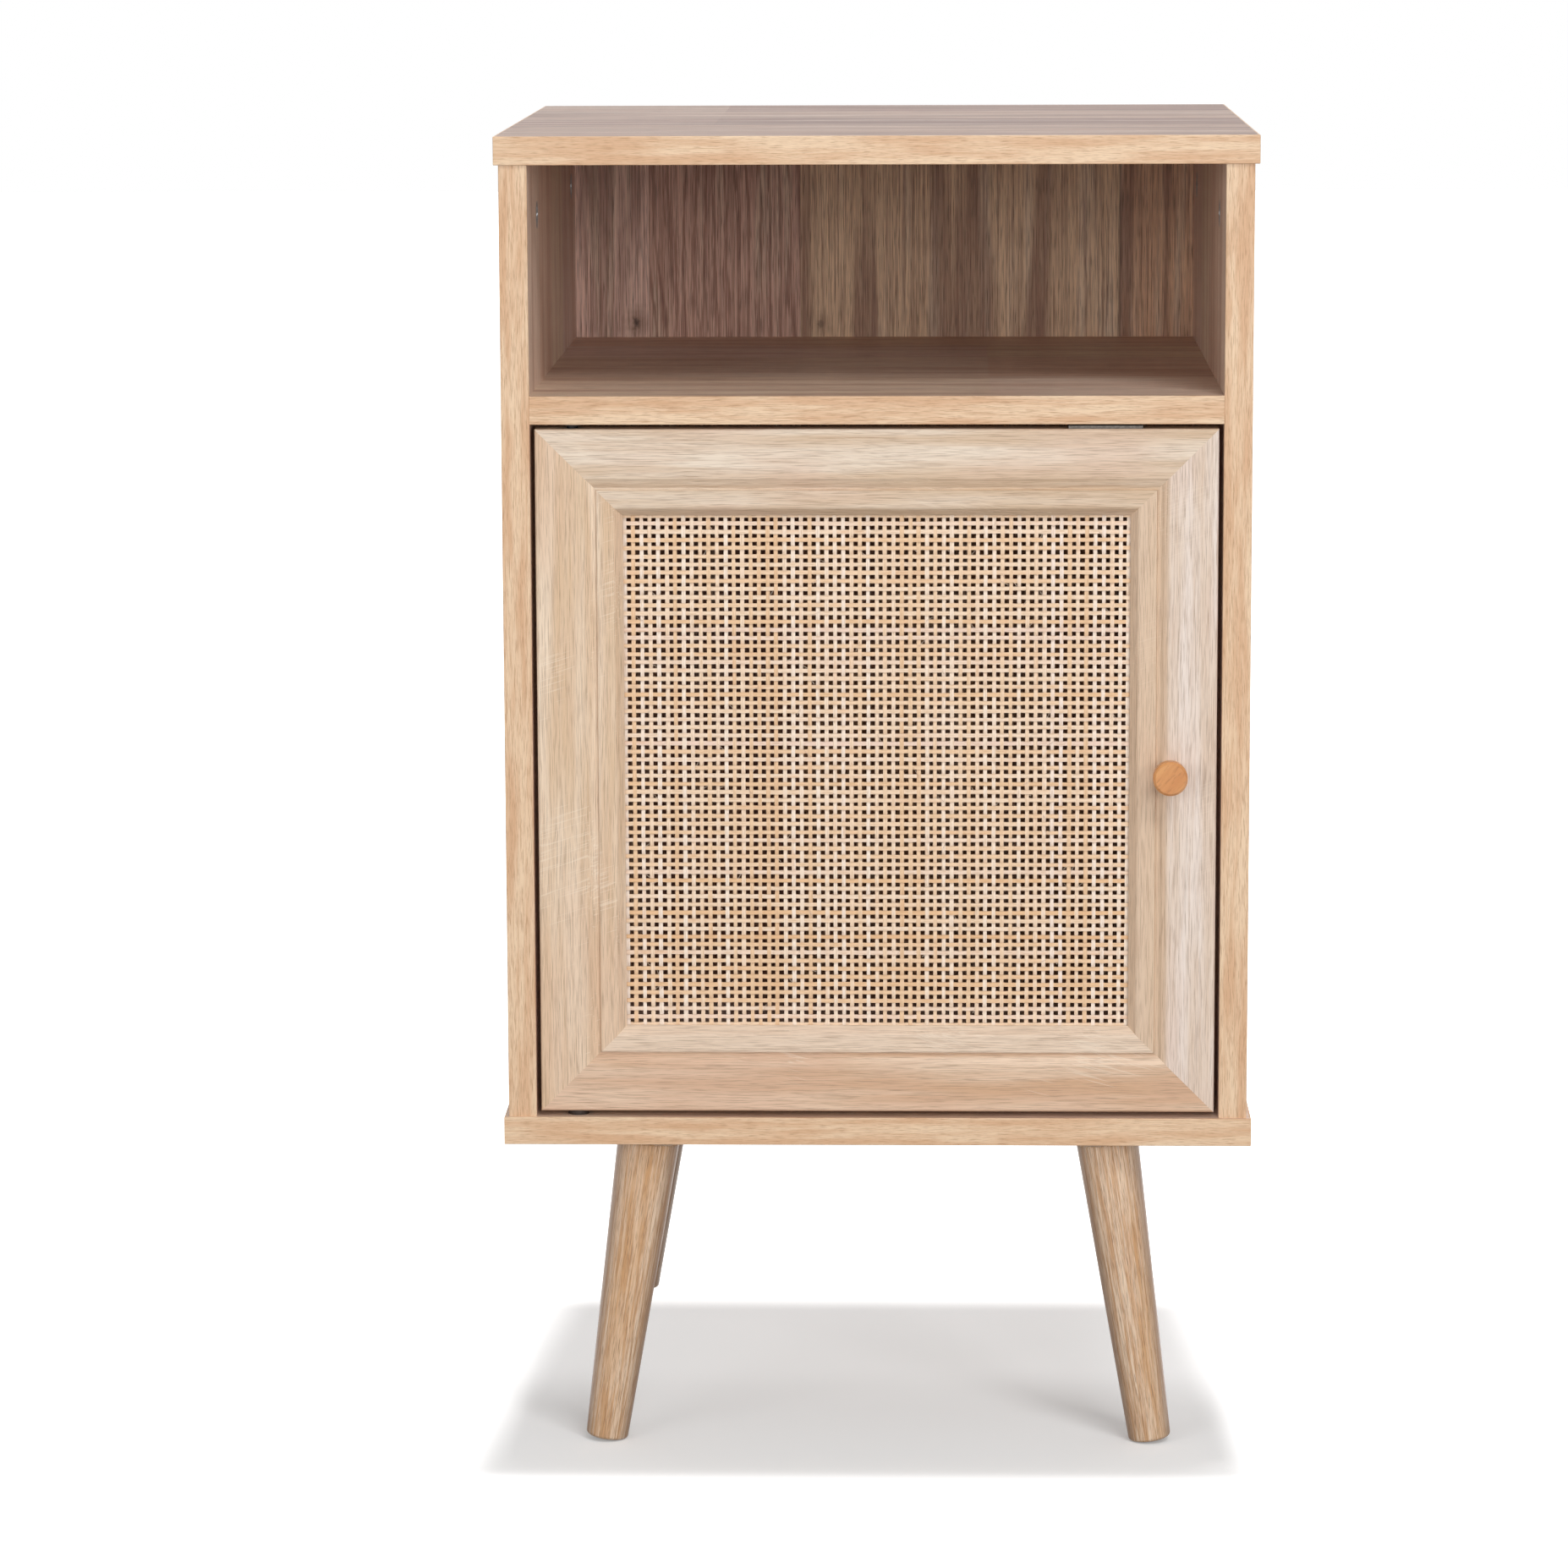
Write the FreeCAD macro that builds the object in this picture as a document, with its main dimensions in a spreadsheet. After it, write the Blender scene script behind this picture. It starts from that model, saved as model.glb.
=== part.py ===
import FreeCAD, Part
import math
import os
import re

import Sketcher

# A storage side table: a board carcass with an open niche over a cupboard, a framed cane door
# hung on two pivot pins, and four turned legs that lean outwards.
# X runs to the right, Y to the back and Z up. The origin is on the floor, under the middle of
# the top board. All sizes are in millimetres.

SIZES = {
    # The whole table
    "table_width": 400,
    "table_depth": 390,
    "table_height": 708,
    "floor_clearance": 170,
    "niche_height": 121,
    # Boards
    "board": 15,
    "edge_band": 1,
    "edge_round": 0.5,
    "back_sheet": 3,
    "side_inset": 2.5,
    "front_setback": 2,
    "back_setback": 2,
    # Cam locks, cam bolts and dowels of the board joints
    "cam_front_inset": 72,
    "cam_rear_inset": 33,
    "cam_offset": 30,
    "cam_radius": 7.5,
    "cam_deep": 12,
    "cam_slot_long": 9,
    "cam_slot_wide": 1.8,
    "cam_slot_deep": 1.6,
    "bolt_radius": 3,
    "bolt_bite": 11,
    "bolt_neck_radius": 2,
    "bolt_neck": 5,
    "bolt_head_radius": 3.2,
    "bolt_head": 3,
    "bolt_bore_radius": 4,
    "dowel_radius": 4,
    "dowel_long": 30,
    "dowel_bite": 10,
    # Nails of the back sheet
    "nail_radius": 0.7,
    "nail_long": 16,
    "nail_head_radius": 2,
    "nail_head": 0.8,
    "nail_margin": 20,
    # Legs, their plates and bolts
    "leg_from_end": 76.5,
    "leg_from_edge": 28.5,
    "leg_drop": 2.6,
    "leg_top_radius": 16.8,
    "leg_foot_radius": 11.4,
    "leg_rim_round": 1,
    "leg_foot_round": 2,
    "plate_long": 66,
    "plate_wide": 36,
    "plate_thick": 2,
    "plate_boss_radius": 14,
    "plate_screw_margin": 6,
    "hanger_radius": 4,
    "hanger_in_leg": 30,
    "hanger_above": 11.5,
    "hanger_bore_radius": 7,
    "hanger_bore_deep": 11,
    # Small wood screws
    "screw_radius": 1.6,
    "screw_bite": 10,
    "screw_head_radius": 3,
    "screw_head": 1.8,
    "screw_slot_long": 3.6,
    "screw_slot_wide": 0.9,
    "screw_slot_deep": 1,
    # Door and its mouldings
    "door_gap_side": 2.5,
    "door_gap_top": 2.5,
    "door_gap_bottom": 3,
    "door_thick": 18,
    "frame_wide": 46,
    "frame_round": 1.5,
    "cove_from_edge": 26,
    "cove_wide": 6,
    "cove_deep": 1.9,
    "quirk_wide": 0.4,
    "ovolo_set": 0.3,
    "lip_thick": 6.5,
    "lip_slope": 4.4,
    "lip_edge": 1.2,
    "lip_round": 2.5,
    "rabbet_wide": 10,
    "mitre_dowel_radius": 3,
    "mitre_dowel_long": 20,
    "mitre_dowel_inset": 26,
    # Cane panel and what holds it
    "cane_thick": 1.6,
    "cane_bite": 6,
    "bead_recess": 1.5,
    "brad_radius": 0.5,
    "brad_long": 12,
    "brad_inset": 1.6,
    # Pivots
    "pivot_from_side": 22,
    "pivot_from_front": 9,
    "pin_radius": 3,
    "pin_in_door": 14,
    "pin_in_bush": 9.5,
    "bush_radius": 4.4,
    "bush_deep": 11,
    "bush_flange_radius": 5.6,
    "bush_flange": 1,
    "washer_play": 0.1,
    # Knob and its screw
    "knob_from_edge": 25,
    "knob_long": 18,
    "knob_radius": 9.1,
    "knob_stem_radius": 6.5,
    "knob_stem": 5,
    "knob_flare": 6,
    "knob_bevel": 1.2,
    "knob_screw_bite": 12,
    "knob_screw_radius": 2,
    "knob_screw_head_radius": 4,
    "knob_screw_head": 2.5,
    # Magnetic catch and its strike plate
    "catch_from_side": 62,
    "catch_long": 39,
    "catch_base_deep": 26,
    "catch_base_thick": 3,
    "catch_body_deep": 13,
    "catch_body_tall": 9,
    "catch_wall": 1.5,
    "pole_thick": 3,
    "pole_proud": 0.6,
    "catch_gap": 0.4,
    "catch_screw_spacing": 26,
    "strike_long": 39,
    "strike_tall": 12,
    "strike_thick": 1.6,
    "strike_lip": 16,
    "strike_screw_radius": 1.5,
    "strike_screw_head_radius": 3,
    "strike_screw_long": 12,
    # Clearances: a fixed piece in its hole, a hole's spare depth, and a pin that turns
    "fit_gap": 0.1,
    "end_gap": 0.5,
    "turn_gap": 0.08,
    # How far every cutting shape stands past the face it cuts
    "overrun": 2,
    # Lean of the legs, in degrees
    "leg_lean": 8.25,
}

# Counts and shares
CANE_GAPS = 17
strand_share = 0.5
# The cove of the door mouldings: depth and width as shares of the whole cove
cove_shares = ((0, 0), (0.42, 0.25), (0.76, 0.52), (0.95, 0.8), (1, 1))
brad_shares = (0.15, 0.5, 0.85)
side_nail_shares = (0, 0.33, 0.67, 1)
shelf_nail_shares = (0.2, 0.5, 0.8)
strike_place_share = 0.55

# Places that follow from the sizes
DERIVED = {
    "side_out": "table_width / 2 - side_inset",
    "side_in": "side_out - board",
    "side_mid": "side_in + board / 2",
    "front": "front_setback - table_depth / 2",
    "rear": "table_depth / 2 - back_setback",
    "back_face": "rear - back_sheet",
    "deck": "floor_clearance + board",
    "under_top": "table_height - board",
    "niche_floor": "under_top - niche_height",
    "shelf_under": "niche_floor - board",
    "shelf_mid": "shelf_under + board / 2",
    "front_row": "front + cam_front_inset",
    "rear_row": "back_face - cam_rear_inset",
    "middle_row": "(front_row + rear_row) / 2",
    "door_left": "door_gap_side - side_in",
    "door_right": "side_in - door_gap_side",
    "door_bottom": "deck + door_gap_bottom",
    "door_top": "shelf_under - door_gap_top",
    "door_wide": "door_right - door_left",
    "door_tall": "door_top - door_bottom",
    "door_back": "front + door_thick",
    "door_mid": "front + door_thick / 2",
    "rabbet_edge": "frame_wide - rabbet_wide",
    "cane_face": "front + lip_thick",
    "bead_face": "cane_face + cane_thick",
    "bead_thick": "door_thick - lip_thick - cane_thick - bead_recess",
    "bead_edge": "rabbet_edge + fit_gap",
    "bead_left": "door_left + bead_edge",
    "bead_right": "door_right - bead_edge",
    "bead_bottom": "door_bottom + bead_edge",
    "bead_top": "door_top - bead_edge",
    "bead_wide": "rabbet_wide - fit_gap",
    "pivot_x": "pivot_from_side - side_in",
    "pivot_y": "front + pivot_from_front",
    "foot_lift": "leg_foot_round * (1 - cos(leg_lean))"
    " + (leg_foot_radius - leg_foot_round) * sin(leg_lean)",
    "leg_mount_x": "table_width / 2 - leg_from_end",
    "leg_mount_y": "table_depth / 2 - leg_from_edge",
    "leg_top": "floor_clearance - leg_drop",
    "leg_top_x": "leg_mount_x + leg_drop * tan(leg_lean)",
    "leg_long": "(leg_top - foot_lift) / cos(leg_lean)",
    "knob_x": "door_right - knob_from_edge",
    "knob_z": "(door_bottom + door_top) / 2",
    "catch_x": "side_in - catch_from_side",
    "catch_base": "shelf_under - catch_base_thick",
    "strike_face": "door_back + strike_thick",
    "pole_face": "strike_face + catch_gap",
    "catch_face": "pole_face + pole_proud",
    "catch_body_long": "catch_long - 2 * pole_thick",
    "strike_z": "catch_base - catch_body_tall * strike_place_share",
}

V = FreeCAD.Vector
LEFT, RIGHT = V(-1, 0, 0), V(1, 0, 0)
FRONT, BACK = V(0, -1, 0), V(0, 1, 0)
DOWN, UP = V(0, 0, -1), V(0, 0, 1)
SIDES = ((-1, RIGHT, LEFT), (1, LEFT, RIGHT))

doc = FreeCAD.newDocument("side_table")
sheet = doc.addObject("Spreadsheet::Sheet", "dims")
gauge = doc.addObject("App::FeaturePython", "gauge")
gauge.addProperty("App::PropertyFloat", "reading")
nodes = []


def fill_sheet():
    """Write every size into the sheet as a named cell."""
    for row, (name, size) in enumerate(SIZES.items(), start=1):
        sheet.set(f"A{row}", name.replace("_", " "))
        sheet.set(f"B{row}", str(size))
        sheet.setAlias(f"B{row}", name)
    doc.recompute()


def formula(text):
    """Spell a formula out: a size becomes its cell, a derived place its own formula."""

    def spell(word):
        name = word.group(0)
        if name in SIZES:
            return f"dims.{name}"
        if name in DERIVED:
            return f"({formula(DERIVED[name])})"
        if name == "strike_place_share":
            return str(strike_place_share)
        return name

    return re.sub(r"[a-z]\w*", spell, text)


def value(text):
    """The present value of a formula."""
    gauge.setExpression("reading", formula(text))
    gauge.recompute()
    return gauge.reading


def keep(label, item):
    """Count an object as one of the table's sub-parts."""
    item.Label = label
    nodes.append(item)
    return item


def bound(kind, name, **formulas):
    """An object of the document whose sizes follow the sheet."""
    item = doc.addObject(kind, name)
    for prop, text in formulas.items():
        item.setExpression(prop, formula(text))
    return item


def place(item, where, turn=None):
    """Put an object at a place given by three formulas, turned if need be."""
    if turn is not None:
        item.Placement = FreeCAD.Placement(V(), turn)
    for axis, text in zip("xyz", where):
        item.setExpression(f"Placement.Base.{axis}", formula(text))
    return item


def facing(out, towards=None):
    """The turn that points a piece's own Z along out, and its own X along towards."""
    if towards is None:
        return FreeCAD.Rotation(UP, out)
    return FreeCAD.Rotation(towards, V(), out, "ZXY")


def block(name, low, high):
    """A box between two corners given by formulas."""
    spans = [f"({top}) - ({bottom})" for bottom, top in zip(low, high)]
    box = bound("Part::Box", name, Length=spans[0], Width=spans[1], Height=spans[2])
    return place(box, low)


def rod(name, radius, start, end):
    """A cylinder along the Z of its own piece, from start to end."""
    cylinder = bound("Part::Cylinder", name, Radius=radius, Height=f"({end}) - ({start})")
    return place(cylinder, ("0", "0", start))


def cross_rod(name, radius, where, long, out):
    """A cylinder from a place, along a direction."""
    cylinder = bound("Part::Cylinder", name, Radius=radius, Height=long)
    return place(cylinder, where, facing(out))


def fused(name, *items):
    """Several shapes made one."""
    fuse = doc.addObject("Part::MultiFuse", name)
    fuse.Shapes = list(items)
    return fuse


def cut(name, solid, tool):
    """One shape less another."""
    piece = doc.addObject("Part::Cut", name)
    piece.Base = solid
    piece.Tool = tool
    return piece


def bored(label, solid, *tools):
    """A sub-part: a solid with each set of holes cut from it in turn."""
    for number, tool in enumerate(tools, start=1):
        solid = cut(f"{label}_cut_{number}", solid, tool)
    return keep(label, solid)


def copies(name, drawn, spots):
    """One drawn shape repeated at each spot, a spot being a place and a turn."""
    links = []
    for number, (where, turn) in enumerate(spots, start=1):
        link = doc.addObject("App::Link", f"{name}_{number}")
        link.LinkedObject = drawn
        link.LinkTransform = True
        links.append(place(link, where, turn))
    group = doc.addObject("Part::Compound", name)
    group.Links = links
    return group


def plane_of(body, role):
    """One of a body's own origin planes."""
    return next(item for item in body.Origin.OriginFeatures if item.Role == role)


def outline(body, name, role, *loops):
    """A sketch of closed straight-sided loops, each corner held by two formulas."""
    sketch = body.newObject("Sketcher::SketchObject", name)
    sketch.AttachmentSupport = [(plane_of(body, role), "")]
    sketch.MapMode = "FlatFace"
    for size, loop in enumerate(loops, start=1):
        first = sketch.GeometryCount
        count = len(loop)
        turns = [2 * math.pi * corner / count for corner in range(count)]
        corners = [V(size * math.cos(turn), size * math.sin(turn)) for turn in turns]
        for here, there in zip(corners, corners[1:] + corners[:1]):
            sketch.addGeometry(Part.LineSegment(here, there), False)
        for corner in range(count):
            joined = ("Coincident", first + corner, 2, first + (corner + 1) % count, 1)
            sketch.addConstraint(Sketcher.Constraint(*joined))
        for corner, texts in enumerate(loop):
            hold_corner(sketch, first + corner, corners[corner], texts)
    return sketch


def hold_corner(sketch, line, start, texts):
    """Hold the first end of a line by its two formulas, or on an axis where one is zero."""
    for kind, axis, now, text in zip(("DistanceX", "DistanceY"), (-2, -1), start, texts):
        if text == "0":
            sketch.addConstraint(Sketcher.Constraint("PointOnObject", line, 1, axis))
        else:
            number = sketch.addConstraint(Sketcher.Constraint(kind, -1, 1, line, 1, now))
            sketch.setExpression(f"Constraints[{number}]", formula(text))


def padded(body, sketch, long):
    """Raise a sketch by a length."""
    pad = body.newObject("PartDesign::Pad", f"{body.Name}_pad")
    pad.Profile = sketch
    pad.setExpression("Length", formula(long))
    doc.recompute()
    return pad


def turned(body, sketch):
    """Turn a sketch once round its upright axis."""
    solid = body.newObject("PartDesign::Revolution", f"{body.Name}_turned")
    solid.Profile = sketch
    solid.ReferenceAxis = (sketch, ["V_Axis"])
    solid.Angle = 360
    doc.recompute()
    return solid


def rounded(body, feature, radius, chosen):
    """Round the edges of a feature that a test picks out."""
    names = [
        f"Edge{number}"
        for number, edge in enumerate(feature.Shape.Edges, start=1)
        if chosen(edge, feature.Shape.BoundBox)
    ]
    fillet = body.newObject("PartDesign::Fillet", f"{body.Name}_round_{len(body.Group)}")
    fillet.Base = (feature, names)
    fillet.setExpression("Radius", formula(radius))
    doc.recompute()
    return fillet


def near(first, second):
    """Whether two coordinates are the same."""
    return math.isclose(first, second, abs_tol=1e-6)


def rectangle(low, high):
    """The corners of a rectangle between two corners."""
    return [low, (high[0], low[1]), high, (low[0], high[1])]


def slotted_cross(name, long, wide, deep):
    """A cross-shaped recess, cut downwards from the face of a screw or cam."""
    bars = [
        block(
            f"{name}_bar_{number}",
            [f"-({x}) / 2", f"-({y}) / 2", f"-{deep}"],
            [f"({x}) / 2", f"({y}) / 2", "overrun"],
        )
        for number, (x, y) in enumerate(((long, wide), (wide, long)), start=1)
    ]
    return fused(name, *bars)


# Board joints: cam locks, cam bolts and dowels


def joint_spots():
    """Where the cams, the bolts and the dowels of the board joints go."""
    cams, bolts, dowels = [], [], []
    for side, inwards, outwards in SIDES:
        wall, middle = f"{side} * side_in", f"{side} * side_mid"
        in_shelf = f"{side} * (side_in - cam_offset)"
        for row in ("front_row", "rear_row"):
            cams.append(((wall, row, "under_top - cam_offset"), facing(inwards, UP)))
            cams.append(((wall, row, "deck + cam_offset"), facing(inwards, DOWN)))
            cams.append(((in_shelf, row, "shelf_under"), facing(DOWN, outwards)))
        for rows, found in ((("front_row", "rear_row"), bolts), (("middle_row",), dowels)):
            for row in rows:
                found.append(((middle, row, "under_top"), facing(DOWN)))
                found.append(((middle, row, "deck"), facing(UP)))
                found.append(((wall, row, "shelf_mid"), facing(inwards)))
    return cams, bolts, dowels


def drawn_cam():
    """A cam lock: a disc with a cross recess in its face and a hole for the bolt's head."""
    disc = rod("cam_disc", "cam_radius", "-cam_deep", "0")
    cross = slotted_cross("cam_cross", "cam_slot_long", "cam_slot_wide", "cam_slot_deep")
    start = "-bolt_head / 2 - fit_gap"
    hole = cross_rod(
        "cam_bolt_hole",
        "bolt_head_radius + fit_gap",
        (start, "0", "-board / 2"),
        f"cam_radius + overrun - ({start})",
        RIGHT,
    )
    return cut("drawn_cam", cut("crossed_cam", disc, cross), hole)


def drawn_bolt():
    """A cam bolt: thread in one board, neck and head in the cam of the other."""
    head_start = "cam_offset - bolt_head / 2"
    return fused(
        "drawn_bolt",
        rod("bolt_shank", "bolt_radius", "-bolt_bite", f"{head_start} - bolt_neck"),
        rod("bolt_neck_rod", "bolt_neck_radius", f"{head_start} - bolt_neck", head_start),
        rod("bolt_head_rod", "bolt_head_radius", head_start, f"{head_start} + bolt_head"),
    )


def drawn_bolt_bore():
    """The holes that a cam bolt runs in."""
    return fused(
        "drawn_bolt_bore",
        rod("bolt_bite_bore", "bolt_radius + fit_gap", "-bolt_bite - end_gap", "0"),
        rod("bolt_edge_bore", "bolt_bore_radius", "0", "cam_offset"),
    )


def board_joints():
    """The joint fittings, and the holes that they need."""
    cams, bolts, dowels = joint_spots()
    keep("cam_locks", copies("cam_locks", drawn_cam(), cams))
    keep("cam_bolts", copies("cam_bolts", drawn_bolt(), bolts))
    peg = rod("drawn_dowel", "dowel_radius", "-dowel_bite", "dowel_long - dowel_bite")
    keep("wood_dowels", copies("wood_dowels", peg, dowels))
    cam_bore = rod("cam_bore", "cam_radius + fit_gap", "-cam_deep - fit_gap", "overrun")
    peg_bore = rod(
        "dowel_bore",
        "dowel_radius + fit_gap",
        "-dowel_bite - end_gap",
        "dowel_long - dowel_bite + end_gap",
    )
    return [
        copies("cam_bores", cam_bore, cams),
        copies("bolt_bores", drawn_bolt_bore(), bolts),
        copies("dowel_bores", peg_bore, dowels),
    ]


# Screws and nails


def drawn_screw(name, head_radius, head, radius, long):
    """A pan-head screw with a cross recess, its shank up from the seat of its head."""
    shape = fused(
        f"{name}_solid",
        rod(f"{name}_head", head_radius, f"-({head})", "0"),
        rod(f"{name}_shank", radius, "0", long),
    )
    cross = slotted_cross(f"{name}_cross", "screw_slot_long", "screw_slot_wide", "screw_slot_deep")
    place(cross, ("0", "0", f"-({head})"), facing(DOWN, RIGHT))
    return cut(name, shape, cross)


def drawn_bore(name, radius, long):
    """The hole for a screw, a nail or a brad, a little wider and deeper than its shank."""
    return rod(name, f"{radius} + fit_gap", "-overrun", f"{long} + end_gap")


def nail_spots():
    """Where the back sheet is nailed to the sides and to the shelf."""
    spots = []
    low, high = "deck + nail_margin", "under_top - nail_margin"
    for side, _, _ in SIDES:
        for share in side_nail_shares:
            height = f"({low}) + (({high}) - ({low})) * {share}"
            spots.append(((f"{side} * side_mid", "rear", height), facing(FRONT)))
    for share in shelf_nail_shares:
        across = f"side_in * (2 * {share} - 1)"
        spots.append(((across, "rear", "shelf_mid"), facing(FRONT)))
    return spots


def back_nails():
    """The nails of the back sheet, and their holes."""
    nail = fused(
        "drawn_nail",
        rod("nail_head_rod", "nail_head_radius", "-nail_head", "0"),
        rod("nail_shank", "nail_radius", "0", "nail_long"),
    )
    keep("back_panel_nails", copies("back_panel_nails", nail, nail_spots()))
    return copies("nail_bores", drawn_bore("nail_bore", "nail_radius", "nail_long"), nail_spots())


# Carcass boards and their edge banding


def on_outer_wall(edge, box):
    """Whether an edge lies in one of the four upright outer faces of a board."""
    own = edge.BoundBox
    across = near(own.XMax, box.XMin) or near(own.XMin, box.XMax)
    return across or near(own.YMax, box.YMin) or near(own.YMin, box.YMax)


def on_front_corner(edge, box):
    """Whether an edge runs along the front face of a strip."""
    own = edge.BoundBox
    return near(own.YMax, box.YMin) and own.DiagonalLength > box.YLength * 20


def wide_board(label, low, holes):
    """The top or bottom board, inside a ring of edge banding."""
    half = ("table_width / 2", "table_depth / 2")
    core = tuple(f"{text} - edge_band" for text in half)
    minus = [tuple(f"-({text})" for text in pair) for pair in (half, core)]
    ring = doc.addObject("PartDesign::Body", f"{label}_edge_band")
    loops = rectangle(minus[0], half), rectangle(minus[1], core)
    pad = padded(ring, outline(ring, f"{label}_band_outline", "XY_Plane", *loops), "board")
    rounded(ring, pad, "edge_round", on_outer_wall)
    place(ring, ("0", "0", low))
    keep(f"{label}_edge_band", ring)
    blank = block(f"{label}_blank", [*minus[1], low], [*core, f"{low} + board"])
    bored(f"{label}_panel", blank, *holes)


def front_strip(label, low, high):
    """A strip of edge banding on a front edge, its long corners eased."""
    body = doc.addObject("PartDesign::Body", label)
    spans = [f"({top}) - ({bottom})" for bottom, top in zip(low, high)]
    strip = body.newObject("PartDesign::AdditiveBox", f"{label}_strip")
    for prop, text in zip(("Length", "Width", "Height"), spans):
        strip.setExpression(prop, formula(text))
    doc.recompute()
    rounded(body, strip, "edge_round", on_front_corner)
    keep(label, place(body, low))


def banded_board(label, low, high, holes):
    """A board whose front edge carries a strip of banding."""
    band_back = f"{low[1]} + edge_band"
    front_strip(f"{label}_edge_band", low, [high[0], band_back, high[2]])
    bored(f"{label}_panel", block(f"{label}_blank", [low[0], band_back, low[2]], high), *holes)


def carcass(joint_bores, nail_bores, catch_bores, leg_bores, bush_bores):
    """All the boards of the carcass."""
    wide_board("top", "under_top", joint_bores[1:])
    wide_board("bottom", "floor_clearance", [*joint_bores[1:], *leg_bores, bush_bores])
    for label, inner, outer in (
        ("left_side", "-side_out", "-side_in"),
        ("right_side", "side_in", "side_out"),
    ):
        low, high = [inner, "front", "deck"], [outer, "back_face", "under_top"]
        banded_board(label, low, high, [*joint_bores, nail_bores])
    low, high = ["-side_in", "front", "shelf_under"], ["side_in", "back_face", "niche_floor"]
    banded_board("shelf", low, high, [*joint_bores, nail_bores, catch_bores, bush_bores])
    sheet_blank = block(
        "back_blank", ["-side_out", "back_face", "deck"], ["side_out", "rear", "under_top"]
    )
    bored("back_panel", sheet_blank, nail_bores)


# Legs


def leg_spots():
    """The top of each leg, and its lean."""
    for depth, end in ((-1, "front"), (1, "rear")):
        for side, hand in ((-1, "left"), (1, "right")):
            lean = FreeCAD.Rotation(BACK, -side * SIZES["leg_lean"])
            yield f"{end}_{hand}_leg", side, depth, lean


def leg_place(side, depth):
    """Where the middle of a leg's top face is."""
    return f"{side} * leg_top_x", f"{depth} * leg_mount_y", "leg_top"


def on_lowest_rim(edge, box):
    """Whether an edge is the rim of a turned piece's lower end."""
    return near(edge.BoundBox.ZMax, box.ZMin)


def on_highest_rim(edge, box):
    """Whether an edge is the rim of a turned piece's upper end."""
    return near(edge.BoundBox.ZMin, box.ZMax)


def leg(label, side, depth, lean):
    """A tapered turned leg, with a hole for its hanger bolt."""
    body = doc.addObject("PartDesign::Body", f"{label}_turning")
    corners = [
        ("0", "0"),
        ("leg_top_radius", "0"),
        ("leg_foot_radius", "-(leg_long)"),
        ("0", "-(leg_long)"),
    ]
    taper = turned(body, outline(body, f"{label}_outline", "XZ_Plane", corners))
    eased = rounded(body, taper, "leg_foot_round", on_lowest_rim)
    rounded(body, eased, "leg_rim_round", on_highest_rim)
    place(body, leg_place(side, depth), lean)
    hole = rod(f"{label}_hole", "hanger_radius + fit_gap", "-hanger_in_leg - end_gap", "overrun")
    bored(label, body, copies(f"{label}_bore", hole, [(leg_place(side, depth), lean)]))


def plate_screw_spots(side, depth):
    """The four screws of one leg plate, near its corners."""
    reach_x = "plate_long / 2 - plate_screw_margin"
    reach_y = "plate_wide / 2 - plate_screw_margin"
    seat = "floor_clearance"
    for x in (-1, 1):
        for y in (-1, 1):
            across = f"{side} * leg_mount_x + {x} * ({reach_x})"
            along = f"{depth} * leg_mount_y + {y} * ({reach_y})"
            yield (across, along, seat), facing(UP)


def plate_slab(name, side, depth, low, high, gap):
    """A slab with the plan of a leg plate, grown by a gap, from one level to another over the underside."""
    half = f"plate_long / 2 + {gap}", f"plate_wide / 2 + {gap}"
    middle = f"{side} * leg_mount_x", f"{depth} * leg_mount_y"
    lower, upper = ([f"{at} {sign} ({reach})" for at, reach in zip(middle, half)] for sign in "-+")
    return block(name, [*lower, f"floor_clearance + {low}"], [*upper, f"floor_clearance + {high}"])


def leg_plate(label, side, depth, lean, screw_bores):
    """A steel plate let into the board, with a boss whose slanted seat the leg stands square to."""
    slanted = place(
        bound("Part::Cylinder", f"{label}_slanted", Radius="plate_boss_radius", Height="2 * leg_drop"),
        leg_place(side, depth),
        lean,
    )
    boss = doc.addObject("Part::Common", f"{label}_boss")
    boss.Base = slanted
    boss.Tool = plate_slab(f"{label}_room", side, depth, "-2 * leg_drop", "plate_thick", "0")
    flange = plate_slab(f"{label}_flange", side, depth, "0", "plate_thick", "0")
    plate = fused(f"{label}_blank", flange, boss)
    hole = rod(f"{label}_thread", "hanger_radius + fit_gap", "-overrun", "hanger_above")
    threaded = copies(f"{label}_threaded", hole, [(leg_place(side, depth), lean)])
    bored(label, plate, threaded, screw_bores)


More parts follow.
